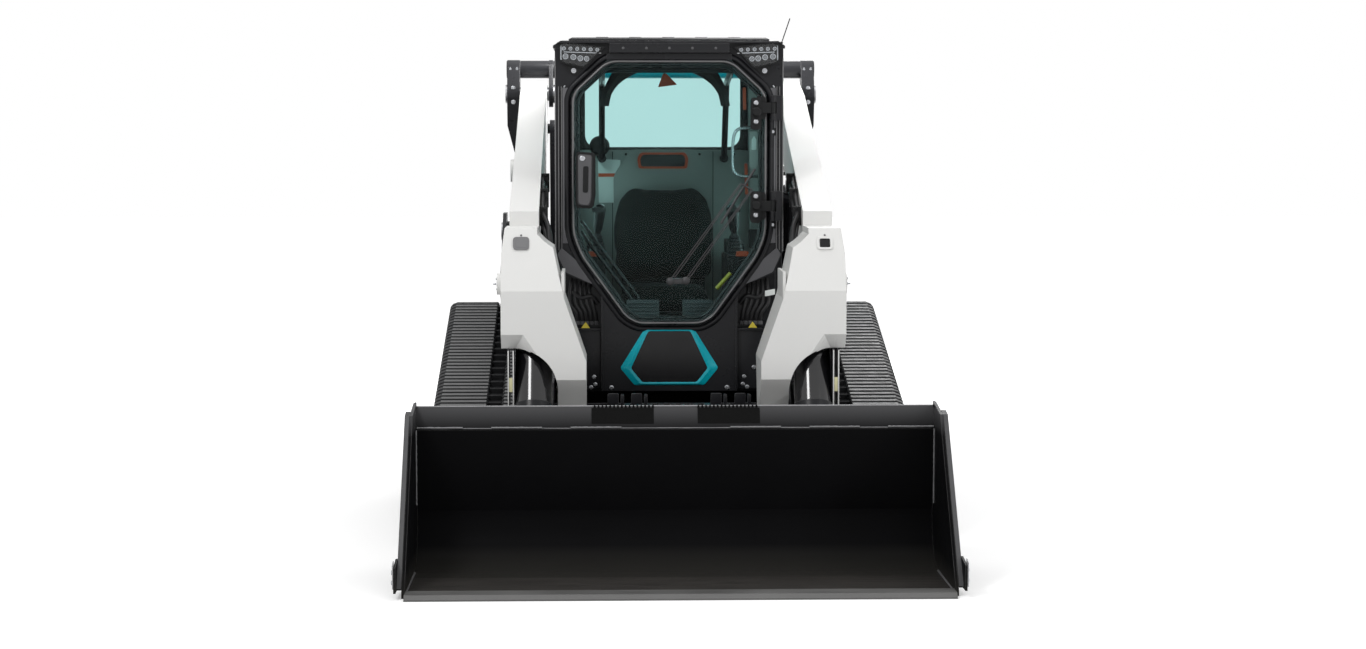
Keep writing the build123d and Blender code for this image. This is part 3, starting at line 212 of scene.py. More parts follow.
def surface(name, colour, rough=(0.35, 0.5), slot=None, metal=0.0, mottle=0.08, mottle_scale=6.0, grain=0.0,
            grain_scale=900.0, wear_and_highlight=None, dust=0.0, coat=0.0, sheen=0.0, specular=0.5, round_edge=0.0,
            stretch=None, bands=()):
    """Procedural finish in object coordinates: mottled colour, uneven gloss, fine grain, edge wear and
    painted highlight, dust.

    Each band is (height where it starts, height where it is full, colour).
    """
    FINISH[name], tree, shader = new_material(name)
    SLOT_OF[name] = slot or name
    for socket, value in (("Metallic", metal), ("Coat Weight", coat), ("Sheen Weight", sheen),
                          ("Specular IOR Level", specular)):
        shader.inputs[socket].default_value = value
    place = grain_place = add_node(tree, "ShaderNodeTexCoord").outputs["Object"]
    if stretch:
        grain_place = add_node(tree, "ShaderNodeMapping", {"Vector": place}, Scale=stretch).outputs["Vector"]
    cloud = add_node(tree, "ShaderNodeTexNoise", {"Vector": grain_place}, Scale=mottle_scale, Detail=8,
                     Roughness=0.62).outputs["Fac"]
    low, high = [tuple(min(1, c * share) for c in colour) for share in (1 - mottle, 1 + mottle)]
    result = blend(tree, cloud, low, high)
    # lighter edges: worn paint, and on frame_black a painted highlight along the edges
    if wear_and_highlight:
        soft = add_node(tree, "ShaderNodeBevel", samples=4, Radius=WEAR_AND_HIGHLIGHT_REACH * MM).outputs["Normal"]
        flat = add_node(tree, "ShaderNodeNewGeometry").outputs["Normal"]
        facing = add_node(tree, "ShaderNodeVectorMath", {0: soft, 1: flat}, operation="DOT_PRODUCT")
        edge = remap(tree, facing.outputs["Value"], From_Min=0.985, From_Max=0.86)
        result = blend(tree, product(tree, edge, cloud), result, wear_and_highlight)
    if dust or bands:
        height = add_node(tree, "ShaderNodeSeparateXYZ", {0: place}).outputs["Z"]
    if dust:
        near_ground = remap(tree, height, From_Min=DUST_TOP, From_Max=0.0, To_Max=dust)
        result = blend(tree, product(tree, near_ground, cloud), result, DUST)
    for start, full, tone in bands:
        result = blend(tree, remap(tree, height, From_Min=start, From_Max=full), result, tone)
    tree.links.new(result, shader.inputs["Base Color"])
    gloss = remap(tree, cloud, From_Min=0.3, From_Max=0.7, To_Min=rough[0], To_Max=rough[1])
    tree.links.new(gloss, shader.inputs["Roughness"])
    normal = None
    if round_edge:
        normal = add_node(tree, "ShaderNodeBevel", samples=4, Radius=round_edge * MM).outputs["Normal"]
    if grain:
        fine = add_node(tree, "ShaderNodeTexNoise", {"Vector": grain_place}, Scale=grain_scale, Detail=3)
        links = {"Height": fine.outputs["Fac"], **({"Normal": normal} if normal else {})}
        normal = add_node(tree, "ShaderNodeBump", links, Strength=grain, Distance=0.001).outputs["Normal"]
    if normal:
        tree.links.new(normal, shader.inputs["Normal"])


def glass(name, tint, gloss_low=0.006, gloss_high=0.6, slot=None):
    """Tinted pane: mostly clear, with its own reflections and a faint unevenness."""
    FINISH[name], tree, _ = new_material(name)
    SLOT_OF[name] = slot or name
    place = add_node(tree, "ShaderNodeTexCoord").outputs["Object"]
    cloud = add_node(tree, "ShaderNodeTexNoise", {"Vector": place}, Scale=1.6, Detail=2).outputs["Fac"]
    colour = blend(tree, cloud, tuple(c * 0.97 for c in tint), tint)
    clear = add_node(tree, "ShaderNodeBsdfTransparent", {"Color": colour})
    shine = add_node(tree, "ShaderNodeBsdfGlossy", Roughness=0.03)
    facing = add_node(tree, "ShaderNodeLayerWeight", Blend=0.10).outputs["Facing"]
    share = remap(tree, facing, To_Min=gloss_low, To_Max=gloss_high)
    show(tree, add_node(tree, "ShaderNodeMixShader", {0: share, 1: clear.outputs[0], 2: shine.outputs[0]}))


surface("arm_white", (0.80, 0.80, 0.785), (0.28, 0.38), mottle=0.015, grain=0.04, grain_scale=350, coat=0.10,
        specular=0.4, round_edge=3)
# frame_black: its lighter edges are a painted highlight, standing for light caught along the frame's edges
surface("frame_black", (0.015, 0.0153, 0.0175), (0.24, 0.36), mottle=0.15, grain=0.06, grain_scale=1400,
        wear_and_highlight=(0.14, 0.14, 0.145), specular=0.20, round_edge=4)
# upper band: painted light, the top plate made lighter where it faces the light from above
surface("bucket_black", (0.0045, 0.0045, 0.005), (0.32, 0.5), mottle=0.35, mottle_scale=3.5, grain=0.10,
        grain_scale=700, wear_and_highlight=(0.20, 0.20, 0.20), specular=0.03, round_edge=2,
        bands=((0.535, 0.63, (0.085, 0.085, 0.088)), (0.09, 0.01, (0.024, 0.023, 0.021))))
surface("accent_teal", (0.0, 0.50, 0.61), (0.22, 0.32), mottle=0.04, grain=0.05, grain_scale=500, coat=0.2,
        specular=0.4, round_edge=2)
surface("rubber_belt", (0.016, 0.0165, 0.018), (0.42, 0.62), mottle=0.4, mottle_scale=22, grain=0.3,
        grain_scale=600, dust=0.06, specular=0.15)
surface("cast_black", (0.020, 0.020, 0.022), (0.5, 0.7), mottle=0.25, grain=0.4, grain_scale=420, dust=0.15,
        specular=0.2, round_edge=3)
surface("pin_steel", (0.34, 0.34, 0.35), (0.25, 0.42), metal=1.0, mottle=0.1, grain=0.2, stretch=(0.06, 1, 1))
surface("rod_chrome", (0.72, 0.73, 0.74), (0.05, 0.12), metal=1.0, mottle=0.03)
surface("plastic_black", (0.011, 0.0115, 0.012), (0.36, 0.5), mottle=0.12, grain=0.25, grain_scale=1600,
        specular=0.18, round_edge=2)
surface("rubber_seal", (0.018, 0.018, 0.020), (0.22, 0.34), mottle=0.1, grain=0.08, specular=0.45,
        round_edge=3)
surface("seat_fabric", (0.013, 0.017, 0.016), (0.6, 0.75), mottle=0.2, mottle_scale=18, grain=0.1,
        grain_scale=1200, sheen=0.05, specular=0.12)
surface("lamp_lens", (0.55, 0.57, 0.60), (0.06, 0.14), mottle=0.05, coat=1.0)
surface("lamp_red", (0.42, 0.02, 0.02), (0.08, 0.16), mottle=0.06, coat=1.0)
surface("motor_grey", (0.10, 0.10, 0.105), (0.45, 0.6), mottle=0.1, grain=0.3, specular=0.3)
glass("glass_tint", (0.82, 0.935, 0.93))

# finishes of scene pieces and of a few CAD nodes, each with the slot that stands for it
surface("panel_grey", (0.36, 0.38, 0.365), (0.55, 0.7), "plastic_black", mottle=0.06, grain=0.35,
        specular=0.2)
surface("trim_grey", (0.075, 0.08, 0.085), (0.4, 0.55), "plastic_black", grain=0.25, grain_scale=1200,
        specular=0.25, round_edge=2)
surface("handle_grey", (0.10, 0.10, 0.105), (0.4, 0.55), "plastic_black", mottle=0.06, grain=0.3,
        grain_scale=1500, specular=0.3, round_edge=3)
surface("hatch_grey", (0.19, 0.19, 0.195), (0.4, 0.55), "plastic_black", mottle=0.06, grain=0.2, specular=0.3,
        round_edge=3)
surface("wiper_grey", (0.045, 0.045, 0.048), (0.3, 0.45), "plastic_black", mottle=0.1, specular=0.4)
surface("badge_black", (0.007, 0.007, 0.008), (0.18, 0.28), "plastic_black", mottle=0.1, specular=0.3)
surface("barrel_black", (0.007, 0.007, 0.008), (0.10, 0.16), "plastic_black", mottle=0.2, grain=0.03,
        grain_scale=300, coat=0.3, specular=0.5)
surface("bolt_zinc", (0.40, 0.41, 0.43), (0.22, 0.36), "pin_steel", metal=1.0, mottle=0.15, mottle_scale=60)
surface("weld_bead", (0.16, 0.16, 0.165), (0.35, 0.5), "bucket_black", metal=0.4, mottle=0.4,
        mottle_scale=120, grain=0.6, grain_scale=300)
surface("step_grit", (0.006, 0.006, 0.006), (0.75, 0.95), "bucket_black", mottle=0.3, mottle_scale=90,
        grain=0.9, grain_scale=800, specular=0.08)
surface("rim_grey", (0.075, 0.075, 0.078), (0.35, 0.5), "bucket_black", mottle=0.3, mottle_scale=9,
        grain=0.15, specular=0.3)
surface("cutter_steel", (0.36, 0.36, 0.37), (0.35, 0.5), "bucket_black", mottle=0.25, mottle_scale=14,
        grain=0.2, specular=0.4, round_edge=2)
surface("edge_steel", (0.115, 0.114, 0.112), (0.3, 0.5), "bucket_black", mottle=0.35, mottle_scale=7,
        grain=0.2, grain_scale=500, specular=0.35, round_edge=2, stretch=(0.4, 1, 1))
surface("skin_worn", (0.024, 0.022, 0.020), (0.45, 0.65), "bucket_black", mottle=0.6, mottle_scale=7,
        grain=0.3, grain_scale=500, specular=0.12, stretch=(0.6, 3.0, 1.0))
surface("label_pale", (0.80, 0.84, 0.82), (0.4, 0.5), "lamp_lens", mottle=0.04, mottle_scale=40)
surface("led_white", (0.80, 0.82, 0.84), (0.05, 0.12), "lamp_lens", mottle=0.05)
surface("lamp_cup", (0.25, 0.255, 0.26), (0.15, 0.25), "lamp_lens", metal=1.0, mottle=0.3, mottle_scale=120)
glass("lamp_cover", (0.95, 0.96, 0.97), 0.03, 0.8, "lamp_lens")
surface("label_cream", (0.74, 0.70, 0.42), (0.4, 0.5), "accent_teal", mottle=0.05, mottle_scale=50)
surface("patch_yellow", (0.74, 0.60, 0.06), (0.4, 0.5), "accent_teal", mottle=0.05, mottle_scale=50)
surface("accent_orange", (0.66, 0.09, 0.03), (0.4, 0.5), "lamp_red", mottle=0.06, mottle_scale=40, grain=0.1)
# painted light: a lighter copy of frame_black for the lit pillar flats and folded corner facets
surface("pillar_painted_light", (0.13, 0.13, 0.138), (0.35, 0.5), "frame_black", grain=0.2, grain_scale=1500,
        specular=0.25)
# painted highlight: light glossy grey standing for highlights on the black rubber seal and on pillar edges
surface("painted_highlight_grey", (0.13, 0.13, 0.133), (0.15, 0.25), "rubber_seal", mottle=0.1, specular=0.6)
# tread tops: worn rubber, made lighter still as a painted highlight on the bars
surface("tread_wear_and_highlight", (0.105, 0.106, 0.108), (0.38, 0.6), "rubber_belt", mottle=0.55, mottle_scale=26,
        grain=0.3, grain_scale=500, dust=0.10, specular=0.3)
surface("hose_rubber", (0.016, 0.016, 0.017), (0.35, 0.5), "rubber_seal", mottle=0.15, mottle_scale=30,
        grain=0.25, grain_scale=1100, specular=0.3)

node_slot = {row["node"]: row["material_slot"] for row in frame["record"]["subparts"]}
own_finish = {"tilt_barrels": "barrel_black", "lift_barrels": "barrel_black", "cutting_edge": "edge_steel"}
for node, obj in frame["nodes"].items():
    obj.data.materials.clear()
    obj.data.materials.append(FINISH[own_finish.get(node, node_slot[node])])


# ---------------------------------------------------------------- mesh tools
def circle_at(centre, side, other, radius, count, start=0.0):
    """Ring of points round a centre, in the plane of two unit vectors."""
    turns = [start + 2 * math.pi * i / count for i in range(count)]
    return [centre + (side * math.cos(a) + other * math.sin(a)) * radius for a in turns]


class Piece:
    """One mesh piece, gathered from shapes given in millimetres."""

    def __init__(self, name):
        self.name = name
        self.bm = bmesh.new()

    def face(self, points):
        """Flat face by its corners."""
        self.bm.faces.new([self.bm.verts.new(point(*p)) for p in points])
        return self

    def loft(self, rings, caps=True):
        """Skin over closed rings of (x, station, z), all with as many points; returns its vertices."""
        rows = [[self.bm.verts.new(point(*p)) for p in ring] for ring in rings]
        for low, high in zip(rows, rows[1:]):
            for i in range(len(low)):
                j = (i + 1) % len(low)
                self.bm.faces.new((low[i], low[j], high[j], high[i]))
        if caps:
            self.bm.faces.new(list(reversed(rows[0])))
            self.bm.faces.new(rows[-1])
        return rows

    def prism(self, outline, along, low, high, bevel=0.0, segments=2):
        """Outline extruded along x (points are station, z), y (x, z) or z (x, station)."""
        place = {"x": lambda a, b, c: (c, a, b), "y": lambda a, b, c: (a, c, b),
                 "z": lambda a, b, c: (a, b, c)}[along]
        rows = self.loft([[place(a, b, c) for a, b in outline] for c in (low, high)])
        if bevel:
            edges = {e for row in rows for v in row for e in v.link_edges}
            bmesh.ops.bevel(self.bm, geom=list(edges), offset=bevel * MM, segments=segments, profile=0.7,
                            affect="EDGES")
        return self

    def plate(self, corners, radius, station0, station1, bevel=0.0):
        """Plate across the machine with rounded corners (x, z)."""
        return self.prism(rounded(corners, radius), "y", station0, station1, bevel)

    def slab(self, x0, x1, station0, station1, z0, z1, bevel=2.0):
        """Box with rounded edges, by its faces."""
        return self.prism(oblong(x0, x1, z0, z1), "y", station0, station1, bevel)

    def turned(self, profile, origin, direction=AHEAD, sides=24, start=0.0):
        """Profile of (distance, radius) turned about a line through an origin."""
        axis = Vector(direction).normalized()
        side = axis.orthogonal().normalized()
        foot, other = Vector(origin), axis.cross(side)
        self.loft([circle_at(foot + axis * distance, side, other, max(radius, 0.01), sides, start)
                   for distance, radius in profile])
        return self

    def tube(self, points, radius, sides=10):
        """Round tube through a list of points."""
        route, rings, side = [Vector(p) for p in points], [], None
        for i, here in enumerate(route):
            ahead = (route[min(i + 1, len(route) - 1)] - route[max(i - 1, 0)]).normalized()
            side = (side - ahead * side.dot(ahead)).normalized() if side else ahead.orthogonal().normalized()
            rings.append(circle_at(here, side, ahead.cross(side), radius, sides))
        self.loft(rings)
        return self

    def hose(self, points, radius, sides=10, steps=8):
        """Round tube along a smooth curve through points."""
        return self.tube(smooth_path(points, steps), radius, sides)

    def bolt(self, x, station, z, direction=AHEAD, size=9.0, washer=True):
        """Hexagon head on a washer, seated on a face."""
        seat, base = (x, station, z), 0
        if washer:
            base = 2.4
            self.turned([(0, size * 1.5), (2, size * 1.5), (base, size * 1.3)], seat, direction, 18)
        return self.turned([(base, size), (base + size * 0.7, size), (base + size * 0.85, size * 0.86)], seat,
                           direction, 6, random.random())

    def rivet(self, x, station, z, direction=AHEAD, size=8.0):
        """Low round head."""
        head = [(0, size), (size * 0.25, size * 0.95), (size * 0.5, size * 0.6), (size * 0.58, 0.2)]
        return self.turned(head, (x, station, z), direction, 16)

    def mirrored(self):
        """Adds the mirror image across x = 0."""
        copy = bmesh.ops.duplicate(self.bm, geom=[*self.bm.verts, *self.bm.edges, *self.bm.faces])["geom"]
        for vert in copy:
            if isinstance(vert, bmesh.types.BMVert):
                vert.co.x = -vert.co.x
        bmesh.ops.reverse_faces(self.bm, faces=[g for g in copy if isinstance(g, bmesh.types.BMFace)])
        return self

    def done(self, finish, body="chassis", smooth_deg=38.0, slot=None):
        """Turns the shapes into an object that rides on a body."""
        bmesh.ops.recalc_face_normals(self.bm, faces=self.bm.faces)
        mesh = bpy.data.meshes.new(self.name)
        self.bm.to_mesh(mesh)
        self.bm.free()
        mesh.polygons.foreach_set("use_smooth", [True] * len(mesh.polygons))
        mesh.set_sharp_from_angle(angle=math.radians(smooth_deg))
        mesh.materials.append(FINISH[finish])
        obj = bpy.data.objects.new(self.name, mesh)
        bpy.context.collection.objects.link(obj)
        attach(obj, body)
        return obj


def smooth_path(points, steps=8):
    """Catmull-Rom curve through points."""
    route = [Vector(p) for p in points]
    ends = [route[0] * 2 - route[1], *route, route[-1] * 2 - route[-2]]
    curve = []
    for a, b, c, d in zip(ends, ends[1:], ends[2:], ends[3:]):
        for t in (i / steps for i in range(steps)):
            curve.append(0.5 * (2 * b + (c - a) * t + (2 * a - 5 * b + 4 * c - d) * t ** 2
                                + (3 * b - a - 3 * c + d) * t ** 3))
    return [*curve, route[-1]]


def arc(centre, radius, start_deg, end_deg, count=8):
    """Points of an arc in a flat outline."""
    turns = [math.radians(start_deg + (end_deg - start_deg) * i / count) for i in range(count + 1)]
    return [(centre[0] + radius * math.cos(t), centre[1] + radius * math.sin(t)) for t in turns]


def upright(flat, station):
    """Flat outline (x, z) stood at a station."""
    return [(x, station, z) for x, z in flat]


def left_of(flat):
    """Flat Vector turned a quarter to the left."""
    return Vector((-flat.y, flat.x))


def corners_of(outline):
    """Each corner of a closed outline as a Vector, between the ones before and after it."""
    verts = [Vector(p) for p in outline]
    return zip(verts[-1:] + verts[:-1], verts, verts[1:] + verts[:1])


def rounded(outline, radius, count=4):
    """Flat outline with each corner rounded."""
    result = []
    for before, corner, after in corners_of(outline):
        back, ahead = before - corner, after - corner
        reach = min(radius, back.length * 0.45, ahead.length * 0.45)
        first, last = corner + back.normalized() * reach, corner + ahead.normalized() * reach
        for t in (i / count for i in range(count + 1)):
            result.append(tuple(first * (1 - t) ** 2 + corner * 2 * t * (1 - t) + last * t ** 2))
    return result


def moved(outline, amount):
    """Outline pushed outwards by an amount along its corner normals."""
    result = []
    for before, here, after in corners_of(outline):
        back, ahead = (here - before).normalized(), (after - here).normalized()
        normal = left_of(back + ahead).normalized()
        half = max(0.35, normal.dot(left_of(ahead)))
        result.append(tuple(here + normal * amount / half))
    return result


def ring(piece, outer, inner, low, high):
    """Frame between two outlines (x, z) with as many points, from one station to another."""
    rows = piece.loft([upright(outer, low), upright(inner, low), upright(inner, high), upright(outer, high)],
                      caps=False)
    for i in range(len(outer)):
        j = (i + 1) % len(outer)
        piece.bm.faces.new((rows[3][i], rows[3][j], rows[0][j], rows[0][i]))


def whole(half):
    """Half outline (x, z) from top to bottom, closed by its mirror image."""
    return [*half, *[(-x, z) for x, z in reversed(half)]]


# ---------------------------------------------------------------- tracks
BELT, LUG = 35.0, 25.0          # carcass thickness and tread height
GROUND = BELT + LUG
LENGTH = (cad_box[1][1] - cad_box[0][1]) / MM         # rear face of the tailgate
REAR = LENGTH - 70              # rear face of the frame
# station, height and radius of the rolling line on the front idler, the rear idler and the sprocket
WHEELS = ((1480.0, GROUND + 190, 190.0), (REAR - 725, GROUND + 150, 150.0), (REAR - 645, 622.0, 203.0))
LINK = 86.0                     # pitch of the links inside the belt
TRACK_X0, TRACK_X1 = 540.0, 990.0
GROOVE_X0, GROOVE_X1 = 704.0, 764.0


def belt_runs():
    """Runs of the rolling line: its normal, the turn after it, and the wheels at its ends."""
    runs = []
    for first, last in zip(WHEELS, WHEELS[1:] + WHEELS[:1]):
        bearing = math.atan2(last[1] - first[1], last[0] - first[0])
        lean = math.acos((first[2] - last[2]) / math.dist(first[:2], last[:2]))
        runs.append((bearing - lean, first, last))
    return [(run[0], (after[0] - run[0]) % (2 * math.pi), *run[1:])
            for run, after in zip(runs, runs[1:] + runs[:1])]


def on_wheel(wheel, angle, offset=0.0):
    """Station and z of a point round a wheel."""
    reach = wheel[2] + offset
    return (wheel[0] + reach * math.cos(angle), wheel[1] + reach * math.sin(angle))


RUNS = belt_runs()
RUN_LENGTHS = [math.dist(on_wheel(first, normal), on_wheel(last, normal)) for normal, _, first, last in RUNS]
BELT_LENGTH = sum(length + run[1] * run[3][2] for length, run in zip(RUN_LENGTHS, RUNS))


def belt_at(distance, offset):
    """Station and z of a point along the belt, pushed outwards by an offset."""
    distance %= BELT_LENGTH
    for length, (normal, turn, first, last) in zip(RUN_LENGTHS, RUNS):
        if distance <= length:
            start, end = on_wheel(first, normal, offset), on_wheel(last, normal, offset)
            share = distance / length
            return (start[0] + (end[0] - start[0]) * share, start[1] + (end[1] - start[1]) * share)
        distance -= length
        if distance <= turn * last[2]:
            return on_wheel(last, normal + distance / last[2], offset)
        distance -= turn * last[2]
    return on_wheel(last, normal + turn, offset)


def build_track(side, name):
    """Belt with its tread and guide lugs, and the lighter faces of the tread, worn and with a painted
    highlight.
    """
    links = round(BELT_LENGTH / LINK)
    pitch = BELT_LENGTH / links
    piece, wear_and_highlight = Piece(name), Piece(name + "_wear_and_highlight")

    def bar_across(start, width, stations):
        """Tread bar over a list of (x, height, slope of its flanks)."""
        rings = []
        for x, height, slope in stations:
            section = ((0, -2), (slope, height * 0.8), (slope + 3, height), (width - slope - 3, height),
                       (width - slope, height * 0.8), (width, -2))
            rings.append([(side * x, *belt_at(start + run, BELT + rise)) for run, rise in section])
        piece.loft(rings)

    def block_across(target, start, section, stations):
        """One section of (run, offset) along the belt, carried over a list of x."""
        target.loft([[(side * x, *belt_at(start + run, offset)) for run, offset in section]
                     for x in stations])

    # the carcass, with rounded edges and a groove
    section = ((TRACK_X0, 4), (TRACK_X0 + 5, 0), (TRACK_X1 - 5, 0), (TRACK_X1, 4), (TRACK_X1, BELT - 8),
               (TRACK_X1 - 8, BELT), (GROOVE_X1, BELT), (GROOVE_X1 - 4, BELT - 5), (GROOVE_X0 + 4, BELT - 5),
               (GROOVE_X0, BELT), (TRACK_X0 + 8, BELT), (TRACK_X0, BELT - 8))
    steps = links * 3
    rows = [[(side * x, *belt_at(i * BELT_LENGTH / steps, offset)) for x, offset in section]
            for i in range(steps)]
    piece.loft([*rows, rows[0]], caps=False)
    for link in range(links):
        base = link * pitch
        for half in (0, 1):
            bar = base + half * pitch / 2
            wander = random.uniform(-0.8, 0.8)
            bar_across(bar + 3 + wander, pitch * 0.40,
                       ((TRACK_X1, 5, 4), (TRACK_X1 - 10, 17, 3), (TRACK_X1 - 32, LUG, 2),
                        (GROOVE_X1 + 5, LUG, 2), (GROOVE_X1, 20, 3)))
            # lighter caps on the bar tops: worn rubber and a painted highlight
            low, high = bar + 7 + wander, bar + pitch * 0.40 - 2 + wander
            for x0, x1, top in ((GROOVE_X1 + 6, TRACK_X1 - 30, GROUND),
                                (TRACK_X0 + 32, GROOVE_X0 - 8, GROUND - 3)):
                face = ((low, top - 1), (low + 2, top + 0.8), (high - 2, top + 0.8), (high, top - 1))
                block_across(wear_and_highlight, 0, face, (x0, (x0 + x1) / 2, x1))
            bar_across(bar + 6 - wander, pitch * 0.36,
                       ((GROOVE_X0, 16, 3), (GROOVE_X0 - 5, LUG - 3, 2), (TRACK_X0 + 30, LUG - 3, 2),
                        (TRACK_X0, 8, 4)))
        # drive block in the groove: it ramps up and drops to a dark window
        block_across(piece, base, ((4, BELT - 6), (pitch * 0.62, GROUND - 6), (pitch * 0.68, GROUND - 9),
                                   (pitch * 0.68, BELT - 6)), (GROOVE_X0 + 5, GROOVE_X1 - 3))
        # guide lugs inside, each side of the wheels' rims
        for x0 in (740.0, 772.0):
            block_across(piece, base, ((10, 2), (22, -26), (44, -26), (56, 2)), (x0, x0 + 18))
    obj = piece.done("rubber_belt", smooth_deg=30)
    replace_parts(obj, name.replace("tread", "track_belt"))
    wear_and_highlight.done("tread_wear_and_highlight", smooth_deg=30)


build_track(1, "tread_left")
build_track(-1, "tread_right")


def build_undercarriage():
    """Bolts on the sprockets and beside the wheels and rollers."""
    bolts = Piece("undercarriage_bolts")
    mid, hub = (TRACK_X0 + TRACK_X1) / 2, WHEELS[2]
    for count, start, reach, out, size, washer in ((12, 0, 140, 26, 9, True), (8, 0.5, 58, 62, 6, False)):
        for turn in (2 * math.pi * (i + start) / count for i in range(count)):
            bolts.bolt(mid + out, hub[0] + reach * math.cos(turn), hub[1] + reach * math.sin(turn), OUT, size,
                       washer)
    rollers = [(1740 + i * (REAR - 965 - 1740) / 4, 270.0) for i in range(5)]
    for station, z in [wheel[:2] for wheel in WHEELS[:2]] + rollers:
        for step in (-32, 32):
            bolts.bolt(mid + 118, station + step, min(z, 262) - 6, OUT, 8)
    bolts.mirrored().done("bolt_zinc")


build_undercarriage()


# ---------------------------------------------------------------- bucket
BUCKET_HALF, SIDE_PLATE = 1012.0, 12.0
INSIDE = BUCKET_HALF - SIDE_PLATE
BACK_TOP, LIP_TOP = (716.0, 540.0), (762.0, 625.0)


def weld_run(piece, start, end, radius=4.0, step=7.0):
    """Rippled bead between two (x, station, z) points."""
    first, last = Vector(start), Vector(end)
    count = max(2, round((last - first).length / step))
    ahead = (last - first).normalized()
    side = ahead.orthogonal().normalized()
    rings = []
    for i in range(count + 1):
        ripple = radius * random.uniform(0.8, 1.15)
        rings.append(circle_at(first.lerp(last, i / count), side, ahead.cross(side), ripple, 6))
    piece.loft(rings)


def build_welds():
    """Weld beads inside the bucket and along its rims."""
    welds = Piece("bucket_welds")
    seam = (BACK_TOP[0] - 9, BACK_TOP[1] + 8)
    # skip welds where the leaning top plate meets the back
    for side in SIDES:
        for x0, x1 in ((210, 405), (516, 710), (820, INSIDE - 4)):
            weld_run(welds, (side * x0, *seam), (side * x1, *seam))
    weld_run(welds, (4 - INSIDE, seam[0] + 3, seam[1] - 3), (INSIDE - 4, seam[0] + 3, seam[1] - 3), 2.2, 40)
    for side in SIDES:
        x, rim = side * (INSIDE - 1), side * (BUCKET_HALF + 3)
        weld_run(welds, (x, 130, 10), (x, 560, 10), 5)
        weld_run(welds, (x, BACK_TOP[0] - 8, 250), (x, BACK_TOP[0] - 10, BACK_TOP[1]))
        weld_run(welds, (rim, 118, 60), (rim, 590, 600))
    weld_run(welds, (20 - INSIDE, 112, 13), (INSIDE - 20, 112, 13), 5)
    welds.done("weld_bead", "quick_attach", 60)


def build_bucket():
    """Step pads, bolts, wear faces and ears of the bucket."""
    pads = Piece("bucket_step_pads")
    lean = (LIP_TOP[0] - BACK_TOP[0]) / (LIP_TOP[1] - BACK_TOP[1])
    face = [(BACK_TOP[0] - 10.5 + lean * (z - BACK_TOP[1]), z) for z in (BACK_TOP[1] + 22, LIP_TOP[1] - 6)]
    outline = [*face, *[(station + 2.2, z) for station, z in reversed(face)]]
    for side in SIDES:
        pads.prism(outline, "x", side * 85, side * 325)
        for x in (side * (88 + 15 * k) for k in range(16)):
            pads.prism([(x - 5, 620), (x + 5, 620), (x + 2.5, 629), (x - 2.5, 629)], "y", LIP_TOP[0] - 14,
                       LIP_TOP[0] - 6)
    pads.done("step_grit", "quick_attach")

    bolts = Piece("bucket_bolts")
    for station, z in ((60, 58), (60, 96), (120, 62), (150, 100)):
        bolts.bolt(BUCKET_HALF + 26, station, z, OUT)
    bolts.mirrored().done("bolt_zinc", "quick_attach")

    cutters = Piece("side_cutter_faces")
    cutters.prism([(20, 40), (20, 128), (66, 138), (74, 40)], "x", BUCKET_HALF + 26, BUCKET_HALF + 30, 1.5)
    cutters.mirrored().done("cutter_steel", "quick_attach")
    rims = Piece("bucket_rim_faces")
    rims.prism([(64, 34), (543, 611), (541.5, 612), (62.5, 35)], "x", BUCKET_HALF + 1, BUCKET_HALF + 17)
    rims.mirrored().done("rim_grey", "quick_attach")
    lip = Piece("bucket_lip_edge")
    lip.tube([(x, LIP_TOP[0] - 7, LIP_TOP[1] + 1) for x in (-INSIDE, INSIDE)], 2.6, 8)
    lip.done("cutter_steel", "quick_attach")
    skin = Piece("bucket_floor_wear_and_highlight")
    skin.slab(6 - INSIDE, INSIDE - 6, 114, 440, 10.2, 11.2, 0.3).done("skin_worn", "quick_attach")

    ears = Piece("bucket_ears")
    # hooked tips at the top corners, and gussets on the back of the skin
    ears.prism([(706, 612), (762, 622), (764, 642), (744, 634), (708, 624)], "x", BUCKET_HALF - 12,
               BUCKET_HALF - 4, 1.5)
    for x in (320, 620, 860):
        ears.prism([(771, 190), (808, 210), (808, 430), (778, 470), (771, 470)], "x", x, x + 12, 1.5)
    ears.mirrored().done("bucket_black", "quick_attach")


build_welds()
build_bucket()


# ---------------------------------------------------------------- boots, arms and cylinders
BOOT_FACE, BOOT_LEAN = (989.0, 1056.0), 120 / 244     # foot (station, z) and slope of the upper face
HATCH_X, HATCH_Z = 604, 1242
CREASE = (989.6, 884)           # station and z of the crease at the foot of the boot


def on_boot(x, z, rise):
    """On the leaning upper face of a boot, moved rearwards by a rise."""
    return (x, BOOT_FACE[0] + BOOT_LEAN * (z - BOOT_FACE[1]) + rise, z)


def on_hem(x, z, back=0.0):
    """On the two facets that lean back below the boot's crease."""
    drop = CREASE[1] - z
    return (x, CREASE[0] + min(drop, 0.828 * (x - 595) + 0.561 * drop) + back, z)


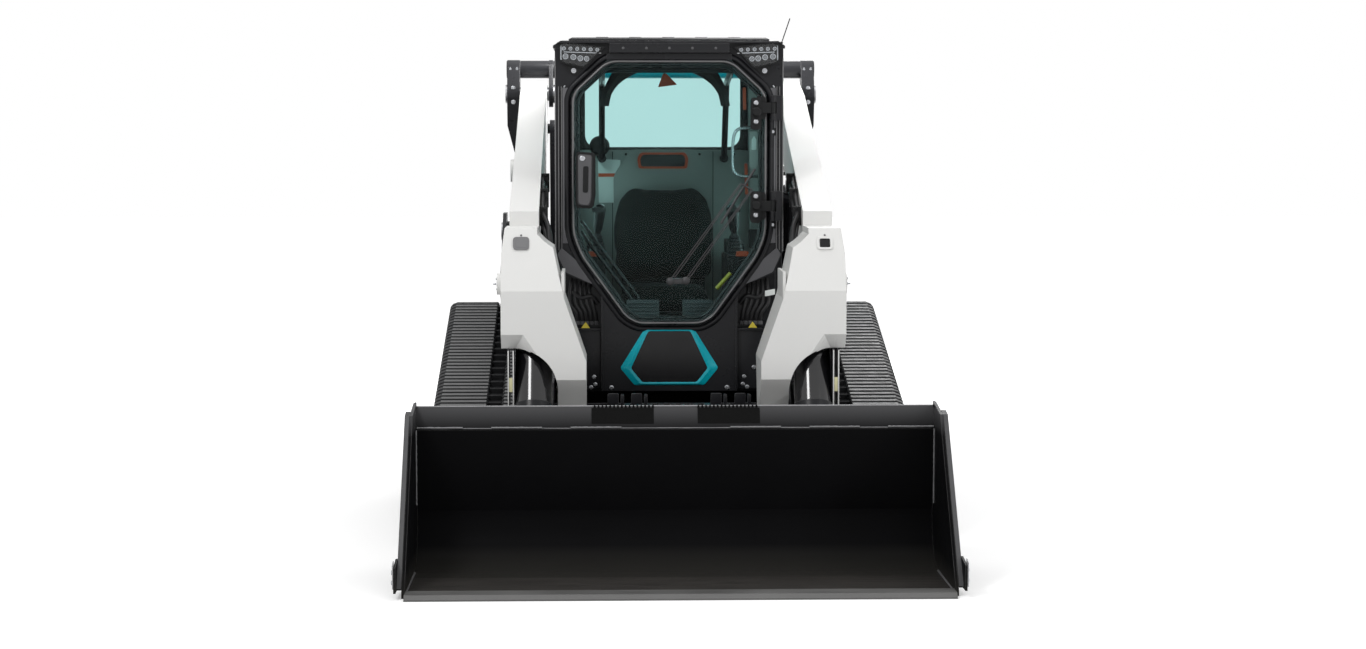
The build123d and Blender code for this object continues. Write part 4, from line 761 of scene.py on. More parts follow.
def build_boots():
    """Open hatch in one boot, its inside a painted shadow, a lid in the other, and the hems below."""
    grey, dark, pale = Piece("boot_hatch_lid"), Piece("boot_hatch_painted_shade"), Piece("boot_hatch_rim")
    for side, rim in ((1, pale), (-1, grey)):
        x = side * HATCH_X
        outer = rounded(oblong(x - 32, x + 32, HATCH_Z - 25, HATCH_Z + 25), 14)
        inner = rounded(oblong(x - 22, x + 22, HATCH_Z - 17, HATCH_Z + 17), 8)
        rows = rim.loft([[on_boot(*p, rise) for p in flat]
                         for flat, rise in ((outer, 3), (outer, -5), (inner, -5), (inner, 2))], caps=False)
        if side < 0:
            grey.bm.faces.new(rows[2])
        else:
            # painted shade: a flat black sheet inside the rim stands for the shadowed inside of the open
            # hatch
            hole = rounded(oblong(x - 20, x + 20, HATCH_Z - 20, HATCH_Z + 20), 4)
            dark.face([on_boot(*p, -0.5) for p in hole])
        grey.rivet(*on_boot(x, HATCH_Z + 31, -3), size=4)
    grey.done("hatch_grey", "lift_arms")
    dark.done("badge_black", "lift_arms")
    pale.done("arm_white", "lift_arms")

    hem = Piece("boot_hem_skins")
    for facet in ([(602.4, 870), (641, 870), (641, 826), (625.7, 826)],
                  [(602.4, 870), (625.7, 826), (610, 826), (590, 822), (565, 812)]):
        hem.loft([[on_hem(x, z, back) for x, z in facet] for back in (0, 5)])
    hem.mirrored().done("arm_white", "lift_arms", 20)


def build_arms():
    """Grease fittings, guards of the tilt cylinders, and the hoses in their clips."""
    fittings = Piece("arm_grease_fittings")
    for side in SIDES:
        nipple = [(0, 5), (4, 5), (5, 3.4), (12, 3), (14, 1)]
        fittings.turned(nipple, (side * 710, 1260, 1070), (side, 0, 0), 10)
        for step in (-22, 22):
            fittings.bolt(side * 707, 1260 + step, 1070 - step, (side, 0, 0), 5, False)
    fittings.done("bolt_zinc", "lift_arms")

    plates, edges = Piece("tilt_guard_plates"), Piece("tilt_guard_edges")
    for x in (632, 652):
        plates.prism([(1012, 588), (1012, 822), (1150, 822), (1205, 588)], "x", x, x + 5, 1)
        edges.slab(x, x + 5, 1008, 1012, 590, 820, 0.8)
    plates.mirrored().done("frame_black", "lift_arms")
    edges.mirrored().done("arm_white", "lift_arms")
    patches = Piece("blank_cream_labels")
    patches.slab(638, 651, 1009, 1011.5, 656, 712, 0.6).mirrored().done("label_cream", "lift_arms")

    hoses = Piece("arm_hoses")
    for k, (x, dz) in enumerate(((528, 0), (518, 26), (528, 52))):
        hoses.hose([(x + 6, 1900, 1440 + dz), (x, 1700, 1378 + dz), (x - 4, 1500, 1310 + dz * 0.8),
                    (x - 14 - 6 * k, 1425, 1268 + dz * 0.5), (x - 30, 1380, 1180 + dz * 0.4),
                    (x - 26, 1340, 1110)], 9)
    hoses.mirrored().done("hose_rubber", "lift_arms")
    clips = Piece("arm_hose_clips")
    for station, z in ((1880, 1460), (1690, 1400), (1500, 1330)):
        clips.slab(505, 540, station - 9, station + 9, z - 34, z + 46, 3)
        clips.bolt(520, station - 9, z + 38, size=5)
    clips.mirrored().done("plastic_black", "lift_arms")


build_boots()
build_arms()


def cylinder_dress(name, body, base, eye, x, radius, length):
    """Gland, ports and hard line on one pair of barrels."""
    start = Vector((x, *base))
    axis = (Vector((x, *eye)) - start).normalized()
    back = axis.cross(Vector(OUT)).normalized()
    if back.y < 0:
        back = -back
    gland = Piece(name + "_glands")
    gland.turned([(length - 34, radius + 0.6), (length - 32, radius + 5), (length - 6, radius + 5),
                  (length - 2, radius + 1), (length + 10, radius - 8), (length + 15, radius - 12)], start,
                 axis, 32)
    seat, low = [start + axis * along + back * (radius - 4) for along in (length - 60, radius * 1.9)]
    for port in (seat, low):
        gland.turned([(0, 16), (20, 16), (24, 12), (34, 12)], port, back, 12)
    gland.mirrored().done("frame_black", body)
    line = Piece(name + "_lines")
    top, foot, side = seat + back * 30, low + back * 30 + axis * 60, Vector(OUT) * 18
    line.tube([seat + back * 10, top, top - axis * 30 + side, foot + side, foot - axis * 30], 6)
    line.mirrored().done("bolt_zinc", body)


cylinder_dress("tilt_cylinder", "tilt_barrels", (1260, 1070), (895, 335), 555, 74, 560)
cylinder_dress("lift_cylinder", "lift_barrels", (REAR - 406, 1000), (REAR - 730, 1501), 600, 50, 480)


def build_rear_link():
    """Teal middle of the cross tube, and the bolts of its clamps."""
    tube = (REAR - 330, 1978.0)
    sleeve = Piece("cross_tube_sleeve")
    sleeve.turned([(0, 40), (2, 42.5), (960, 42.5), (962, 40)], (-481, *tube), OUT, 40)
    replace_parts(sleeve.done("accent_teal", "rear_link"), "cross_tube")
    bolts = Piece("rear_link_bolts")
    for x, station, z in ((684, tube[0] - 44, tube[1]), (716, tube[0] - 44, tube[1]), (700, REAR - 427, 1822),
                          (700, REAR - 427, 1888)):
        bolts.bolt(x, station, z, size=7)
    bolts.mirrored().done("bolt_zinc", "rear_link")


def build_cross_member():
    """Brackets on top of the cross member, and bosses on the legs."""
    grip = Piece("cross_member_brackets")
    for x in (-262, -168, 150, 246):
        grip.plate(oblong(x, x + 44, 596, 640), 6, 1104, 1112, 1)
        grip.plate(oblong(x + 52, x + 66, 596, 634), 4, 1104, 1150, 1)
    grip.done("frame_black", "lift_arms")
    bosses = Piece("leg_bosses")
    for x, out in ((336, -1), (458, 1)):
        bosses.turned([(0, 60), (6, 60), (8, 54)], (x, 1000, 235), (out, 0, 0), 32)
    bosses.mirrored().done("arm_white", "lift_arms")


build_rear_link()
build_cross_member()


# ---------------------------------------------------------------- cab outside
CAB_HALF, CAB_FRONT, CAB_REAR, CAB_TOP = 478.0, 1690.0, 2900.0, 2065.0
OPENING = [(255, 1968), (395, 1838), (395, 1262), (361, 1170), (177, 915), (130, 888)]
DOOR_FACE = CAB_FRONT - 20      # front of the door's glass
REAR_WINDOW = [(-368, 1602), (368, 1602), (368, 1992), (-368, 1992)]
SIDE_WINDOW = [(1850, 1240), (1850, 1930), (2780, 1930), (2780, 1330), (2640, 1150), (1990, 1150)]


def bead(name, finish, body, first, last, station, rise, radius):
    """Half-round bar round the door opening, between two moves of its outline."""
    piece, rows = Piece(name), []
    for share in (k / 8 for k in range(9)):
        flat = rounded(moved(whole(OPENING), first + (last - first) * share), radius, 6)
        rows.append(upright(flat, station - rise * math.sin(math.pi * share) ** 0.7))
    piece.loft([*rows, rows[0]], caps=False)
    piece.done(finish, body, 60)


bead("door_frame_lip", "frame_black", "chassis", 46, 19, CAB_FRONT + 1, 13, 50)
bead("door_edge_trim", "rubber_seal", "cab_door", 17, -2, DOOR_FACE + 7, 14, 40)
# painted highlight: a light-grey bead for the highlight on the black seal round the door glass
bead("door_edge_bright", "painted_highlight_grey", "cab_door", 12, 3, DOOR_FACE - 5, 5, 42)
bead("door_inner_gasket", "rubber_seal", "chassis", -3, -20, CAB_FRONT + 26, 12, 30)


def build_hinges():
    """Clamps, knobs and bolts of the two door hinges."""
    black, bright = Piece("door_hinge_clamps"), Piece("door_hinge_bolts")
    for middle in (1765, 1375):
        black.plate(oblong(338, 384, middle - 74, middle + 60), 16, DOOR_FACE - 26, DOOR_FACE - 7, 3)
        black.turned([(0, 20), (4, 20), (6, 13), (14, 13), (18, 19), (34, 20), (40, 15)],
                     (362, DOOR_FACE - 26, middle), sides=20)
        for z in (middle + 38, middle - 40):
            bright.turned([(0, 10), (7, 10), (9, 7), (8, 3)], (361, DOOR_FACE - 27, z), sides=20)
            black.turned([(0, 17), (4, 17), (5, 12)], (361, DOOR_FACE - 25, z), sides=20)
        bright.bolt(434, CAB_FRONT - 2, middle - 82, size=8)
        black.slab(418, 450, CAB_FRONT - 6, CAB_FRONT, middle - 98, middle - 66)
    black.done("plastic_black", "cab_door")
    bright.done("bolt_zinc", "cab_door")


def build_latch():
    """Door latch: a raised shell, the slot of its handle, and a lock."""
    shell = Piece("door_latch_shell")
    outline = rounded([(-384, 1378), (-336, 1372), (-326, 1402), (-322, 1586), (-382, 1590)], 14)
    crown = [(-352 + (x + 352) * 0.86, 1480 + (z - 1480) * 0.96) for x, z in outline]
    rows = shell.loft([upright(outline, DOOR_FACE - 46), upright(crown, DOOR_FACE - 56)], caps=False)
    shell.bm.faces.new(rows[-1])
    shell.done("handle_grey", "cab_door")
    slot = Piece("door_latch_slot")
    slot.plate([(-362, 1430), (-340, 1430), (-338, 1540), (-360, 1540)], 8, DOOR_FACE - 58, DOOR_FACE - 52, 1)
    slot.plate([(-392, 1366), (-322, 1362), (-312, 1400), (-310, 1596), (-390, 1600)], 16, DOOR_FACE - 38,
               DOOR_FACE - 30, 2)
    slot.done("plastic_black", "cab_door")
    lock = Piece("door_latch_lock")
    lock.turned([(0, 11), (4, 11), (5, 9), (5.5, 3)], (-364, DOOR_FACE - 56, 1572), sides=20)
    lock.done("bolt_zinc", "cab_door")


def build_wiper():
    """Two ladder arms on a foot plate, and the blade."""
    station = DOOR_FACE - 30
    arm = Piece("wiper_arms")

    def rod(start, end, radius, sides=8, back=0):
        """Straight rod between two (x, z) points."""
        arm.tube([(x, station + back, z) for x, z in (start, end)], radius, sides)

    feet, heads = ((3, 1057), (68, 1060)), ((300, 1466), (345, 1440))
    for low, high in zip(map(Vector, feet), map(Vector, heads)):
        half = left_of((high - low).normalized()) * 5.0
        for sign in SIDES:
            rod(low + half * sign, high + half * 0.6 * sign, 2.2)
        for i in range(9):
            rung = low.lerp(high, (i + 0.5) / 9)
            rod(rung - half, rung + half, 1.8, 6)
        arm.turned([(-6, 17), (6, 17), (10, 13), (12, 5)], (low.x, station, low.y), sides=22)
    rod(*heads, 4)
    rod((214, 1300), (356, 1528), 4.0, back=6)
    rod((218, 1298), (360, 1526), 3.0, 6, 14)
    arm.slab(-6, 78, station + 8, DOOR_FACE - 2, 1046, 1070, 5)
    arm.plate([(-12, 1048), (76, 1050), (76, 1070), (-12, 1068)], 9, station + 2, station + 12, 2)
    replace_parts(arm.done("wiper_grey", "cab_door"), "wiper")


def circle(x, z, radius, count=20):
    """Clockwise round outline."""
    return list(reversed(arc((x, z), radius, 0, 360 - 360 / count, count - 1)))


def build_headlights():
    """Dark housings with two rows of cells and a light bar behind a clear lens."""
    shell, cups = Piece("headlight_housings"), Piece("headlight_cups")
    cells, lens = Piece("headlight_cells"), Piece("headlight_lenses")
    outline = [(266, 2036), (433, 2056), (460, 2047), (461, 1977), (442, 1966), (352, 1947), (298, 2006)]
    front = CAB_FRONT - 34
    for side in SIDES:
        flat = [(side * x, z) for x, z in outline][::side]
        outer, inner = rounded(flat, 9), rounded(moved(flat, -6), 7)
        rows = shell.loft([upright(outer, CAB_FRONT), upright(outer, front), upright(inner, front),
                           upright(inner, front + 22)], caps=False)
        shell.bm.faces.new(rows[0])
        shell.face(upright(inner, front + 21))
        for x, z, radius in ((345, 1986, 11), (371, 1988, 12), (400, 1993, 12), (433, 1996, 12),
                             *[(300 + 28 * k, 2024 + k, 8) for k in range(6)]):
            ring(cells, circle(side * x, z, radius), circle(side * x, z, radius - 1.8), front + 8, front + 12)
            cups.turned([(0, radius), (9, radius * 0.5), (10, 0.4)], (side * x, front + 9, z), BEHIND, 16)
            cells.turned([(0, 1), (2, 3), (6, 3.6)], (side * x, front + 11, z), BEHIND, 10)
        cells.prism([(side * 284, 2008), (side * 440, 2013), (side * 440, 2016), (side * 284, 2011)], "y",
                    front + 8, front + 14)
        cells.prism([(side * 450, 2042), (side * 456, 2040), (side * 456, 1982), (side * 450, 1980)], "y",
                    front + 4, front + 14)
        lens.prism(inner, "y", front + 1.5, front + 4, 0.8, 1)
    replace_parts(shell.done("plastic_black"), "headlights")
    cups.done("lamp_cup")
    cells.done("led_white")
    lens.done("lamp_cover")
    brackets = Piece("headlight_brackets")
    brackets.plate([(352, 1955), (430, 1962), (412, 1926), (392, 1918)], 6, CAB_FRONT - 16, CAB_FRONT - 1, 2)
    brackets.mirrored().done("plastic_black")
    pins = Piece("headlight_bracket_bolts")
    pins.bolt(399, CAB_FRONT - 16, 1937, size=7)
    pins.tube([(440, CAB_FRONT - 3, 1868), (434, CAB_FRONT - 6, 1876)], 4, 8)
    pins.mirrored().done("bolt_zinc")


def build_roof():
    """Visor over the door, its studs, and the ribbed crown of the roof."""
    visor = Piece("roof_visor")
    for half, section in ((250, ((38, 2012), (44, 2050), (30, 2056), (2, 2056), (2, 2008))),
                          (262, ((12, 1974), (14, 2008), (1, 2012), (1, 1970)))):
        visor.prism([(CAB_FRONT - ahead, z) for ahead, z in section], "x", -half, half, 3)
    visor.done("frame_black")
    studs = Piece("roof_studs")
    for x in (-193, -96, 0, 96, 193):
        studs.rivet(x, CAB_FRONT - 41, 2030, size=6)
    studs.done("handle_grey", slot="pin_steel")
    crown = Piece("roof_crown")
    crown.loft([[(x * (420 - inset) / 420, station + (inset if station < 2000 else -inset), z)
                 for x, station in oblong(-420, 420, 1700, 2860)]
                for inset, z in ((0, CAB_TOP - 6), (0, CAB_TOP + 4), (14, CAB_TOP + 11), (60, CAB_TOP + 13))])
    crown.done("frame_black")
    ribs = Piece("roof_ribs")
    for x in (-280, -140, 0, 140, 280):
        ribs.prism([(1830, CAB_TOP + 12), (1845, CAB_TOP + 18), (2720, CAB_TOP + 18), (2735, CAB_TOP + 12)],
                   "x", x - 26, x + 26, 2)
    ribs.done("frame_black")


def build_antenna():
    """Rod that leans outwards from a foot on the side of the roof."""
    rod = Piece("antenna_rod")
    rod.tube([(480, 1900, 2046), (520, 1900, 2164)], 2.2, 8)
    rod.tube([(478, 1900, 2040), (486, 1900, 2064)], 6, 12)
    rod.slab(472, 486, 1888, 1912, 2034, 2048, 3)
    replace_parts(rod.done("plastic_black"), "antenna")


def build_pillars():
    """Painted highlights on the edges, and painted light on the folded lower corners and inner panels of the
    front pillars.
    """
    # painted highlights: thin light-grey strips along the pillar's channel and outer edges
    shine = Piece("pillar_edges")
    for x in (449, 461):
        shine.slab(x, x + 4, CAB_FRONT - 6, CAB_FRONT + 2, 1186, 1872, 1.5)
    shine.slab(474, 479, CAB_FRONT - 4, CAB_FRONT + 4, 1180, 1990)
    shine.mirrored().done("painted_highlight_grey", slot="frame_black")
    # painted light: lighter grey on the folded lower corners and inner panels, where the black frame catches
    # light
    corners = Piece("pillar_ribs")
    corners.plate([(470, 1170), (436, 1094), (300, 1034), (292, 1046), (398, 1150), (452, 1196)], 6,
                  CAB_FRONT - 5, CAB_FRONT + 1, 2)
    corners.mirrored().done("pillar_painted_light")
    panels = Piece("pillar_panels")
    panels.slab(416, 447, CAB_FRONT - 3, CAB_FRONT + 2, 1216, 1866, 1).mirrored().done("pillar_painted_light")


def build_aprons():
    """Plates, bolts, hoses and labels each side of the nose."""
    bolts = Piece("apron_bolts")
    for x, z in ((317, 650), (312, 618), (330, 606), (358, 690)):
        bolts.bolt(x, 1712, z, size=6)
    bolts.bolt(244, CAB_FRONT, 606, size=7)
    bolts.mirrored().done("bolt_zinc")

    plates = Piece("nose_side_plates")
    plates.prism(oblong(288, 410, 600, 846), "y", 1712, 1724, 2)
    plates.prism(oblong(288, 410, 846, 856), "y", 1702, 1724, 2)
    # rolled edges of the nose
    plates.slab(279, 287, CAB_FRONT - 6, CAB_FRONT + 4, 600, 1020, 3)
    plates.mirrored().done("frame_black")

    hoses, nuts = Piece("apron_hoses"), Piece("apron_hose_nuts")
    for k in range(5):
        x = 306 + 20 * k
        hoses.hose([(x, 1740, 884), (x + 6, 1728, 920), (x + 18 + 4 * k, 1726, 965),
                    (x + 30, 1736, 1010 + 6 * k), (x + 26, 1748, 1040 + 6 * k)], 8)
        nuts.turned([(0, 11), (14, 11), (16, 8)], (x, 1740, 870), (0, -0.1, 1), 6)
    hoses.hose([(300, 1738, 960), (330, 1726, 990), (372, 1724, 984), (410, 1734, 1010)], 10)
    hoses.mirrored().done("hose_rubber")
    nuts.mirrored().done("handle_grey", slot="pin_steel")

    patches = Piece("nose_yellow_patches")
    patches.prism([(334, 858), (371, 858), (352, 884)], "y", 1701, 1703).mirrored().done("patch_yellow")
    plate = Piece("blank_pale_plate")
    plate.plate([(404, 990), (446, 998), (446, 1022), (404, 1014)], 3, 1700, 1703, 0.6).done("label_pale")


def build_bezel():
    """Teal ring: a wide slope at the sides, thin above and below, round a blank black centre."""
    outer = whole([(101, 860), (207, 690), (147, 617)])
    crest = whole([(94, 853), (176, 690), (124, 624)])
    inner = whole([(88, 846), (162, 689), (114, 630)])
    frame_piece = Piece("nose_ring")
    sections = ((outer, 0), (outer, 3), (crest, 11), (inner, 10), (inner, 0))
    frame_piece.loft([upright(rounded(flat, 10), CAB_FRONT - rise) for flat, rise in sections], caps=False)
    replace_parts(frame_piece.done("accent_teal", smooth_deg=20), "nose_bezel")
    centre = Piece("nose_ring_centre")
    centre.plate(moved(inner, 3), 10, CAB_FRONT - 5, CAB_FRONT + 1).done("badge_black")


def build_window_seals():
    """Rubber round the side windows."""
    seals = Piece("side_window_seals")
    outer, inner = rounded(moved(SIDE_WINDOW, 10), 46, 6), rounded(moved(SIDE_WINDOW, -14), 34, 6)
    rows = [[(CAB_HALF + out, station, z) for station, z in flat]
            for flat, out in ((outer, -1), (outer, 3), (inner, 3), (inner, -8))]
    seals.loft([*rows, rows[0]], caps=False)
    seals.mirrored().done("rubber_seal")


build_hinges()
build_latch()
build_wiper()
build_headlights()
build_roof()
build_antenna()
build_pillars()
build_aprons()
build_bezel()
build_window_seals()


# ---------------------------------------------------------------- cab inside
WALL = CAB_REAR - 28            # front face of the rear wall
PANEL = WALL - 26               # front face of the panel on it


def build_rear_wall():
    """Rear wall with a tall window, and the three panes."""
    wall = Piece("rear_wall_shell")
    ring(wall, rounded(oblong(-450, 450, 600, 2031), 2, 8), rounded(REAR_WINDOW, 70, 8), WALL, CAB_REAR)
    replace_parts(wall.done("frame_black"), "cab_rear_wall")
    panes = Piece("cab_panes")
    panes.prism(rounded(REAR_WINDOW, 66, 8), "y", CAB_REAR - 16, CAB_REAR - 10)
    for side in SIDES:
        panes.prism(rounded(SIDE_WINDOW, 44, 6), "x", side * (CAB_HALF - 16), side * (CAB_HALF - 10))
    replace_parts(panes.done("glass_tint"), "cab_windows")


def build_linings():
    """Grey linings of the rear wall, roof and pillars, with their seams and the window's gasket."""
    panel = Piece("rear_panel")
    panel.plate([(-430, 640), (430, 640), (430, 1590), (370, 1598), (-370, 1598), (-430, 1590)], 20, PANEL,
                WALL - 2, 8)
    panel.plate([(-225, 980), (225, 980), (228, 1480), (150, 1600), (-150, 1600), (-228, 1480)], 24,
                PANEL - 14, PANEL + 2, 8)
    panel.done("panel_grey")
    liner = Piece("headliner")
    liner.slab(-444, 444, 1752, WALL - 4, 2008, 2028, 4).done("trim_grey")

    pillars = Piece("pillar_trims")
    for side in SIDES:
        for low, high, corners in ((1752, 1800, ((448, 1240), (420, 1240), (412, 1900), (448, 1960))),
                                   (2790, 2866, ((448, 1160), (400, 1160), (392, 1990), (448, 2000)))):
            pillars.prism([(side * x, z) for x, z in corners], "y", low, high, 6)
    pillars.plate(oblong(342, 376, 1532, 1684), 6, 1776, 1800, 4).done("panel_grey")
    seams = Piece("rear_panel_seams")
    for x0 in (-234, 231):
        seams.slab(x0, x0 + 3, PANEL - 1.5, PANEL + 1, 660, 1590, 0.5)
    for x in (-330, -170, 170, 330):
        seams.rivet(x, PANEL, 1578, size=6)
    seams.done("plastic_black")
    gasket = Piece("rear_window_gasket")
    ring(gasket, rounded(moved(REAR_WINDOW, -8), 74, 8), rounded(moved(REAR_WINDOW, 9), 62, 8), WALL - 8,
         WALL + 6)
    gasket.done("rubber_seal")


def build_labels():
    """Blank badge, labels and the exit tag."""
    shape = [(-104, 1586), (104, 1586), (118, 1560), (112, 1512), (-112, 1512), (-118, 1560)]
    badge = Piece("rear_badge_rim")
    badge.plate(shape, 12, WALL - 48, WALL - 38, 2).done("accent_orange", slot="accent_teal")
    face = Piece("rear_badge_face")
    face.plate([(x * 0.89, 1549 + (z - 1549) * 0.74) for x, z in shape], 9, WALL - 50.5, WALL - 46, 1)
    face.done("badge_black")
    label = Piece("blank_pale_label")
    label.plate([(-296, 1354), (-204, 1354), (-204, 1438), (-196, 1446), (-196, 1552), (-300, 1556)], 5,
                WALL - 30, WALL - 27.5, 0.6)
    label.done("label_pale")
    stripe = Piece("label_stripe")
    stripe.slab(-298, -206, WALL - 31, WALL - 29.5, 1474, 1490, 0).done("accent_orange")
    tag = Piece("exit_tag")
    tag.plate([(-11, 1938), (2, 1938), (51, 1889), (-34, 1878)], 5, 2290, 2294, 1).done("accent_orange")
    strap = Piece("exit_tag_strap")
    strap.hose([(-5, 2292, 1934), (-6, 2300, 1970), (-4, 2310, 2006)], 4, 8).done("rubber_seal")


def resample(line, count):
    """Points at even distances along a flat line."""
    lengths = [0.0]
    for a, b in zip(line, line[1:]):
        lengths.append(lengths[-1] + math.dist(a, b))
    result = []
    for goal in (lengths[-1] * i / count for i in range(count + 1)):
        k = min(max(j for j, length in enumerate(lengths) if length <= goal + 1e-9), len(line) - 2)
        share = (goal - lengths[k]) / (lengths[k + 1] - lengths[k])
        result.append(tuple(a + (b - a) * share for a, b in zip(line[k], line[k + 1])))
    return result


def build_hoop():
    """Folded bar over the seat: round inside, with shoulders outside."""
    turns = [math.radians(a) for a in range(15, 166, 10)]
    inner = [(250, 1796), *[(250 * math.cos(t), 1800 + 165 * math.sin(t)) for t in turns], (-250, 1796)]
    outer = whole([(290, 1796), (282, 1850), (256, 1910), (222, 1970), (190, 2004), (60, 2008)])
    rings = []
    for (xa, za), (xb, zb) in zip(resample(inner, 24), resample(outer, 24)):
        mid = ((xa + xb) / 2, (za + zb) / 2)
        rings.append([(xa, 2416, za), (mid[0], 2398, mid[1]), (xb, 2416, zb), (xb, 2436, zb),
                      (mid[0], 2452, mid[1]), (xa, 2436, za)])
    hoop = Piece("seat_bar_hoop")
    hoop.loft(rings)
    hoop.done("plastic_black")


def build_fittings():
    """Grab handle, speaker, switches, strips, guard tubes and foot rests."""
    grab = Piece("grab_handle")
    grab.hose([(392, 1790, 1496), (340, 1776, 1494), (290, 1768, 1500), (272, 1765, 1530), (270, 1765, 1600),
               (274, 1765, 1660), (292, 1768, 1692), (340, 1776, 1700), (392, 1790, 1700)], 6.5, 12, 6)
    grab.done("bolt_zinc")
    pod = Piece("rear_speaker")
    pod.turned([(-34, 20), (-30, 38), (-10, 47), (10, 46), (28, 34), (36, 14), (38, 1)], (-292, 2830, 1616),
               (0, -1, 0.1), 28)
    pod.turned([(0, 14), (30, 12)], (-292, 2835, 1560), UP, 12).done("plastic_black")

    switches, marks = Piece("switch_panel"), Piece("switch_marks")
    switches.plate([(392, 1300), (436, 1300), (436, 1740), (400, 1740)], 8, 1775, 1840, 5)
    switches.plate([(-436, 1300), (-398, 1300), (-402, 1640), (-436, 1640)], 8, 1775, 1840, 5)
    for z in range(1330, 1500, 34):
        switches.slab(404, 424, 1768, 1776, z, z + 24)
    marks.plate([(350, 1606), (371, 1606), (371, 1648), (361, 1666), (350, 1648)], 3, 1773, 1776, 0.6)
    for z in (1560, 1610, 1650, 1690):
        marks.slab(404, 428, 1771, 1774, z, z + 22, 0.6)
    switches.done("plastic_black")
    marks.done("label_pale")
    strips = Piece("pillar_orange_strips")
    strips.plate([(352, 1780), (366, 1780), (364, 1880), (350, 1880)], 5, 2480, 2486, 1)
    strips.plate([(362, 1400), (376, 1400), (372, 1540), (358, 1540)], 5, 2480, 2486, 1)
    for side in SIDES:
        strips.plate([(side * 303, 1138), (side * 362, 1138), (side * 358, 1160), (side * 307, 1160)], 5,
                     2156, 2166, 1.5)
    strips.done("accent_orange")
    hammer = Piece("hammer_handle")
    hammer.tube([(206, 1850, 1014), (266, 1858, 1080)], 9, 12).done("patch_yellow")

    tubes = Piece("lower_guard_tubes")
    for drop in (0, 46):
        tubes.hose([(-372, 1960, 1300 - drop), (-290, 1915, 1190 - drop), (-196, 1900, 1068 - drop),
                    (-128, 1890, 974 - drop), (-100, 1885, 905), (-98, 1885, 800)], 8, 12)
    tubes.done("barrel_black")
    rests = Piece("foot_rests")
    for x0, x1 in ((-178, -40), (60, 190)):
        rests.prism([(1780, 860), (1796, 866), (1860, 960), (1852, 968), (1780, 876)], "x", x0, x1, 2)
        for k in range(6):
            rests.slab(x0 + 8, x1 - 8, 1776 + 11 * k, 1786 + 11 * k, 876 + 15 * k, 880 + 15 * k, 1)
    rests.done("trim_grey")


def build_controls():
    """Bellows and grips of the two joysticks, arm rests and a side display."""
    grips = Piece("joystick_grips")
    for x in (302, -302):
        folds = [(i * 15 + step, 46 - 22 * i / 6 - fall) for i in range(7) for step, fall in ((0, 0), (7, 6))]
        grips.turned([*folds, (106, 12)], (x, 2262, 1131), (0, -0.12, 1), 26)
        grips.turned([(0, 12), (12, 15), (30, 21), (60, 22), (88, 25), (112, 27), (128, 22), (136, 8)],
                     (x, 2250, 1232), (-0.10 if x > 0 else 0.10, -0.22, 1), 20)
        grips.slab(x - 24, x + 24, 2196, 2206, 1330, 1350, 3)
    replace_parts(grips.done("rubber_seal"), "joysticks")
    rests = Piece("arm_rests")
    for side in SIDES:
        rests.prism([(2330, 1134), (2330, 1176), (2345, 1186), (2680, 1196), (2700, 1180), (2700, 1134)], "x",
                    side * 276, side * 350, 9)
        rests.prism([(2164, 1060), (2164, 1128), (2180, 1140), (2230, 1140), (2230, 1060)], "x", side * 266,
                    side * 440, 8)
    rests.done("plastic_black")
    screen = Piece("side_display")
    screen.plate(oblong(350, 436, 1180, 1262), 8, 1990, 2010, 4)
    screen.tube([(400, 2000, 1180), (410, 2010, 1120)], 8).done("plastic_black")


build_rear_wall()
build_linings()
build_labels()
build_hoop()
build_fittings()
build_controls()


def squared_ring(half_x, half_station, middle, z, flat_x, flat_y, count=28):
    """Ring of (x, station, z): a round outline squared off by two powers."""
    row = []
    for turn in (2 * math.pi * i / count for i in range(count)):
        across, along = math.cos(turn), math.sin(turn)
        row.append((half_x * math.copysign(abs(across) ** flat_x, across),
                    middle + half_station * math.copysign(abs(along) ** flat_y, along), z))
    return row


def puff(obj, cap_mm, voxel_mm=6.0, pressure=4.0, frames=20):
    """Inflates a cushion by cloth simulation, keeping each point within a cap of where it began."""
    bpy.context.view_layer.objects.active = obj
    remesh = obj.modifiers.new("remesh", "REMESH")
    remesh.mode, remesh.voxel_size = "VOXEL", voxel_mm * MM
    bpy.ops.object.modifier_apply(modifier="remesh")
    before = [v.co.copy() for v in obj.data.vertices]
    cloth = obj.modifiers.new("cloth", "CLOTH")
    cloth.settings.use_pressure = True
    cloth.settings.uniform_pressure_force = pressure
    cloth.settings.effector_weights.gravity = 0
    cloth.settings.quality = 5
    for number in range(1, frames + 1):
        bpy.context.scene.frame_set(number)
    shaped = obj.evaluated_get(bpy.context.evaluated_depsgraph_get())
    after = [v.co.copy() for v in shaped.data.vertices]
    obj.modifiers.remove(cloth)
    bpy.context.scene.frame_set(1)
    for vert, old, new in zip(obj.data.vertices, before, after):
        step = new - old
        if step.length > cap_mm * MM:
            step *= cap_mm * MM / step.length
        vert.co = old + step
    settle = obj.modifiers.new("settle", "SMOOTH")
    settle.factor, settle.iterations = 0.5, 30
    bpy.ops.object.modifier_apply(modifier="settle")
    obj.data.polygons.foreach_set("use_smooth", [True] * len(obj.data.polygons))
    obj.data.update()


def soft_part(name, node, rings, cap_mm):
    """Padded part over rings of points, puffed up by no more than a cap."""
    piece = Piece(name)
    piece.loft(rings)
    obj = piece.done("seat_fabric", smooth_deg=80)
    puff(obj, cap_mm)
    smooth = obj.modifiers.new("soft", "SUBSURF")
    smooth.levels = smooth.render_levels = 1
    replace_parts(obj, node)


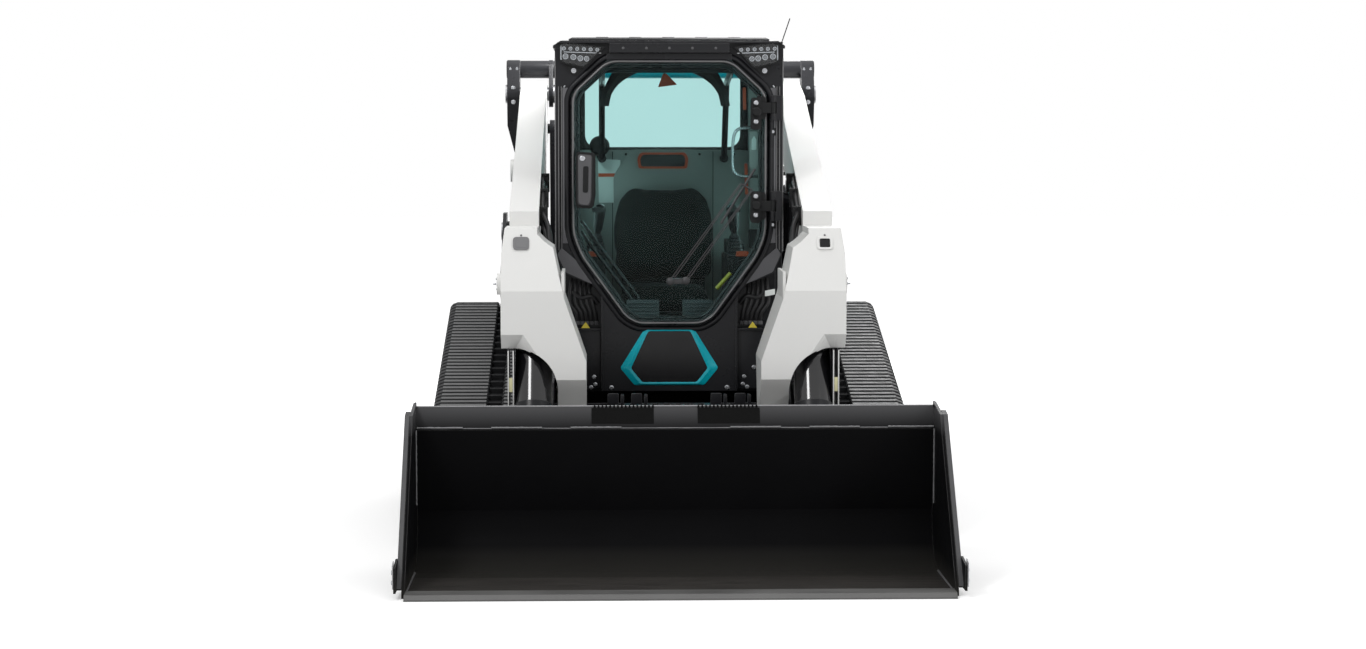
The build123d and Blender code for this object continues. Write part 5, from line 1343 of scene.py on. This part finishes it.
def build_seat():
    """Cushion, back with two wings, seams and frame of the seat."""
    half_x, half_depth, middle, bottom, top = 216, 205, 2467, 892, 974
    shares = ((bottom, 0.90), (bottom + 12, 0.97), ((bottom + top) / 2, 1.0), (top - 14, 0.95), (top, 0.80))
    rows = [squared_ring(half_x * share, half_depth * share, middle, z, 0.6, 0.6) for z, share in shares]
    soft_part("seat_cushion_pad", "seat_cushion", rows, 22)
    lean = (2752 - 2650) / (1400 - 1010)
    rows = []
    for z, half, depth in ((1012, 200, 40), (1040, 226, 46), (1150, 238, 50), (1280, 236, 48),
                           (1376, 208, 44), (1420, 172, 32), (1436, 144, 16)):
        centre = 2662 + lean * (z - 1010)
        # the front bends forward towards the sides
        rows.append([(x, station - (26 * max(0.0, abs(x) / 240 - 0.55) / 0.45 if station < centre else 0), z)
                     for x, station, z in squared_ring(half, depth, centre, z, 0.55, 0.7)])
    soft_part("seat_back_pad", "seat_back", rows, 24)
    seams = Piece("seat_seams")
    for x in (-138, 138):
        seams.hose([(x, 2598, 1060), (x * 1.06, 2615, 1160), (x * 1.02, 2650, 1280), (x * 0.9, 2682, 1366)],
                   3.0, 6)
        seams.hose([(x, 2290, 984), (x * 1.04, 2420, 992), (x, 2560, 988)], 3.0, 6)
    seams.done("seat_fabric")
    frame_piece = Piece("seat_frame")
    frame_piece.prism([(2270, 870), (2270, 886), (2700, 886), (2760, 1380), (2790, 1380), (2730, 870)], "x",
                      -190, 190, 6)
    frame_piece.done("plastic_black")


build_seat()


# ---------------------------------------------------------------- rear and sides
def build_rear():
    """Grille, latch, bolts and hoses at the rear, and the mesh in the hood's slots."""
    grille = Piece("tailgate_grille")
    for z in range(900, 1250, 46):
        grille.prism([(LENGTH - 12.5, z + 2), (LENGTH - 2, z + 13), (LENGTH - 2, z + 16),
                      (LENGTH - 13.5, z + 5)], "x", -306, 306)
    grille.done("plastic_black", "tailgate")
    latch = Piece("tailgate_latch")
    latch.plate(oblong(360, 430, 780, 900), 14, 3688, 3699, 3).done("plastic_black", "tailgate")
    bolts = Piece("rear_bolts")
    for x in (-440, -250, 0, 250, 440):
        bolts.rivet(x, 3698, 520, BEHIND, 7)
        bolts.rivet(x * 0.85, 3698, 1290, BEHIND, 7)
    bolts.done("bolt_zinc", "tailgate")
    mesh = Piece("hood_slot_mesh")
    for station in (REAR - 330 + (k - 2.5) * 40 for k in range(6)):
        for x in range(-270, 271, 20):
            mesh.slab(x - 1.5, x + 1.5, station - 9, station + 9, 1336, 1339, 0)
    mesh.done("plastic_black", "rear_hood")
    caps = Piece("hood_bolts")
    for x in (-420, 420):
        for station in (2990, 3300, 3500):
            caps.rivet(x, station, 1345, UP)
    caps.done("bolt_zinc", "rear_hood")
    hoses = Piece("tower_hoses")
    for k in range(3):
        x = 520 + 22 * k
        hoses.hose([(x, REAR - 60, 940), (x, REAR - 70, 1000), (x + 4, REAR - 110, 1050 + 10 * k),
                    (x + 4, REAR - 160, 1040), (x, REAR - 190, 1000), (x, REAR - 195, 930)], 9)
    hoses.mirrored().done("hose_rubber")


build_rear()
